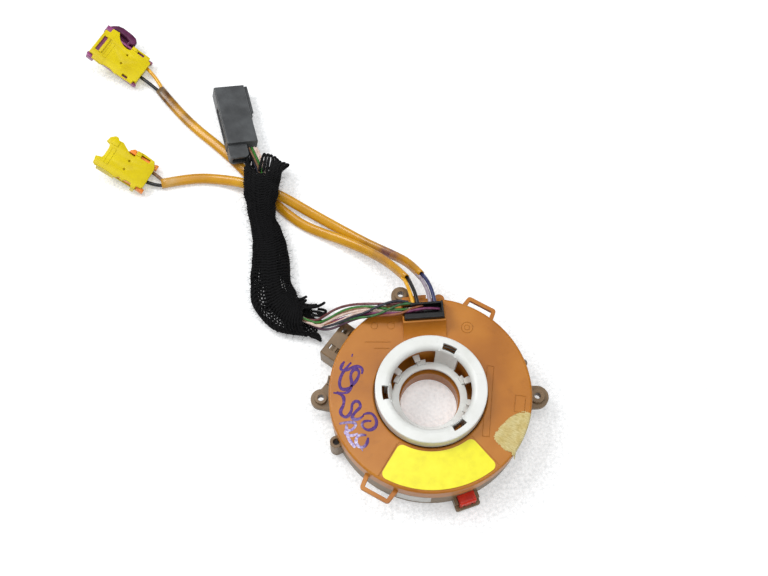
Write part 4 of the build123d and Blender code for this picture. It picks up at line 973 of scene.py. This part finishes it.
connectorA = {
    "spot": (-159.1, 217.9), "yaw": 145.5, "pitch": 20, "half": 15.5, "top": 7, "edge": 0.3,
    "outline": [
        (15.5, 8.4), (12.6, 8.5), (12.4, 10.6), (6.8, 10.9), (4.4, 9.9), (1, 9.6), (-2.9, 10.4), (-7, 10),
        (-13.7, 9.8), (-13.9, 7.7), (-15.5, 7.5), (-15.5, -7.5), (-13.9, -7.7), (-13.7, -9.7),
        (-5.4, -9.8), (-2.3, -9.8), (-2.2, -6.6), (0, -6.1), (2.4, -6.5), (5.2, -7.9), (7.2, -9.7),
        (8.3, -11.7), (12.5, -11.3), (12.7, -8.5), (15.5, -8.4)],
    "core": [
        (11.3, 7.3), (-15.2, 7.3), (-15.2, -7.3), (-2.8, -7.3), (-2.2, -6.3), (0, -5.9), (5, -7.3),
        (11.3, -7.3)],
    "window": boxOutline(11.7, 13.9, -5, 5),
    "sideWindows": [boxOutline(-10.4, -6.2, -9, -7.5), boxOutline(-10.2, -6.8, 7.6, 9.2)],
    "vents": [(-2.6, -3), (-2.6, 3.2)], "panel": (6.1, 8.6, -4.4, 6.6),
    "sideWalls": [boxOutline(-13.3, -2.6, -9.7, -9.4)],
    "ridges": [((9.7, 11.4, -5.3, 5.3), 0.4, 0.7, 0.35), ((-5.4, -2.4, -9.6, -7.6), 0.3, 0.6, 0.3)],
    "web": [(13.6, -8.8), (13.2, -12.6), (4.6, -13.2), (-0.6, -12.6), (-2.2, -11), (-2.2, -8.8)],
    "lever": [
        (16.4, -10.6), (13.8, -13.6), (11.4, -15.4), (8.6, -16.1), (2.2, -15.9), (-0.6, -15.2),
        (-2.3, -13.4), (-2.3, -11.6), (-0.6, -10.4), (0.4, -10.4), (0.4, -8.6), (2, -8.6), (1.7, -11.6),
        (4.6, -12.3), (9, -12.4), (11.6, -11.9), (14.2, -9.2), (16, -8.8)],
}
connectorB = {
    "spot": (-156.2, 148.4), "yaw": 149.5, "pitch": 20, "half": 14.9, "top": 7, "edge": 0.4,
    "outline": [
        (13.4, 3.9), (15.8, 4.8), (15, 8.8), (13.6, 9.6), (8.6, 9.2), (5.6, 9.3), (2.6, 9.8), (1.3, 10.1),
        (-0.7, 8.4), (-2.9, 9.5), (-5, 8.1), (-8.1, 8), (-8.8, 10.1), (-11.2, 10.1), (-11.4, 7.9),
        (-13.9, 7.7), (-14.9, 6.4), (-14.9, -5.6), (-14.2, -7.2), (-12.8, -9.9), (-6.4, -10.6),
        (-2.1, -10.3), (-2.2, -6.2), (0.6, -6.4), (3.4, -7.9), (6.8, -9.9), (9.4, -9.7), (10.4, -10.9),
        (12.2, -10.9), (14.4, -8.8), (15, -5.8), (12.6, -4.9), (12.1, -3), (12.1, 2), (12.6, 3.7)],
    "core": [
        (11.6, 6.5), (-14.6, 6.5), (-14.6, -7), (-2.8, -7.2), (-2.2, -6), (0.6, -6.2), (3.4, -7.2),
        (11.6, -7.2)],
    "sideWindows": [boxOutline(-10.7, -5.4, -9.3, -7.2)], "vents": [(-1.1, -2.4), (-1.1, 3.3)],
    "panel": (7.9, 10.6, -4.2, 6),
    "sideWalls": [
        boxOutline(-11, -8.9, 8.9, 9.9), boxOutline(1.8, 12.6, 8.6, 9.2),
        boxOutline(-12.4, -2.4, -10.2, -9.7)],
    "ridges": [((-5.2, -2.3, -10.1, -7.4), 0.3, 0.7, 0.35), ((8.2, 12, -9.2, -5.6), 0.3, 0.4, 0.35)],
    "tab": [(2, -7.7), (1.4, -9.2), (-0.2, -10.6), (-1.9, -10.6), (-1.9, -7.7)],
}
locks = {"low": 2, "high": 5.1, "inner": 7.9, "outer": 9.1, "belly": 1.2}

for name, shape in (("connectorABody", connectorA), ("connectorBBody", connectorB)):
    top, edge = shape["top"], shape["edge"]
    holes = [roundHole(x, y, 0.62) for x, y in shape["vents"]]
    holes += [list(reversed(spot)) for spot in shape["sideWindows"]]
    if "window" in shape:
        holes.append(list(reversed(shape["window"])))
    back, front, right, left = shape["panel"]
    wall = [boxOutline(back, front, right, left)]
    wall.append(list(reversed(boxOutline(back + 0.3, front - 0.3, right + 0.3, left - 0.3))))
    foot = [boxOutline(3, 12, -5, 5), roundHole(7.5, -2, 0.8), roundHole(7.5, 2, 0.8)]
    depth = (shape["half"] + 3) * math.tan(math.radians(shape["pitch"]))
    shape["plates"] = [
        plate([shape["outline"]] + holes, 5.3, top, edge), plate([shape["core"]], 0.4, 5.5, 0.1),
        block(-shape["half"] + 0.2, 12.2, -8.6, 8.2, 0, locks["belly"], 0.3),
        plate(wall, top - 0.1, top + 0.12, 0.04), plate(foot, -depth, 0.6, 0.7)]
    shape["plates"] += [plate([side], 0.3, 5.6, 0.1) for side in shape["sideWalls"]]
    for box, below, above, soft in shape["ridges"]:
        shape["plates"].append(block(*box, top - below, top + above, soft))
bodyA = layDown(connectorA["plates"], "connectorABody", connectorA, "connectorPbt", "rotor",
                "yellow_plastic", "connector_a")
bodyB = layDown(connectorB["plates"], "connectorBBody", connectorB, "connectorPbt", "rotor",
                "yellow_plastic", "connector_b")

low, high, inner, outer = (locks[key] for key in ("low", "high", "inner", "outer"))
partsA = [plate([arm], low, high, 0.2) for arm in bothSides(boxOutline(-16.2, 16.3, inner, outer))]
partsA += [block(11.7, 16.2, -12, -inner - 0.8, low - 0.8, high + 0.9, 0.5),
           block(11.5, 15.7, inner + 0.8, 10.6, low - 0.8, high + 0.7, 0.5),
           block(11.1, 14.9, -outer, outer, 3.4, high, 0.15)]
lockA = layDown(partsA, "connectorALock", connectorA, "lockPurplePbt", "a_lock",
                "purple_plastic", "connector_a_lock")
# the lever, and a web under it in the same darker purple: painted shade between lever and body
leverPlates = [plate([connectorA["web"]], low - 1.2, low, 0.15),
               plate([connectorA["lever"]], low - 0.2, high + 0.5, 0.7)]
leverA = layDown(leverPlates, "connectorALever", connectorA, "shadedLeverPurple", "a_lock",
                 "purple_plastic", "connector_a_lock")
partsB = [block(-15.6, 1.6, -outer, -inner + 0.2, low, high + 0.1, 0.2),
          block(-15.6, 1.6, 6.8, 7.8, low, high + 0.1, 0.2),
          block(-16, -11.8, 6.9, 8.9, low - 0.1, high, 0.3),
          block(-16, -14.4, -9.6, -6.6, low - 0.1, high, 0.4),
          plate([connectorB["tab"]], low, high + 0.2, 0.3)]
lockB = layDown(partsB, "connectorBLock", connectorB, "lockOrangePbt", "b_lock",
                "orange_plastic", "connector_b_lock")
print("stage: connectors and their locks")
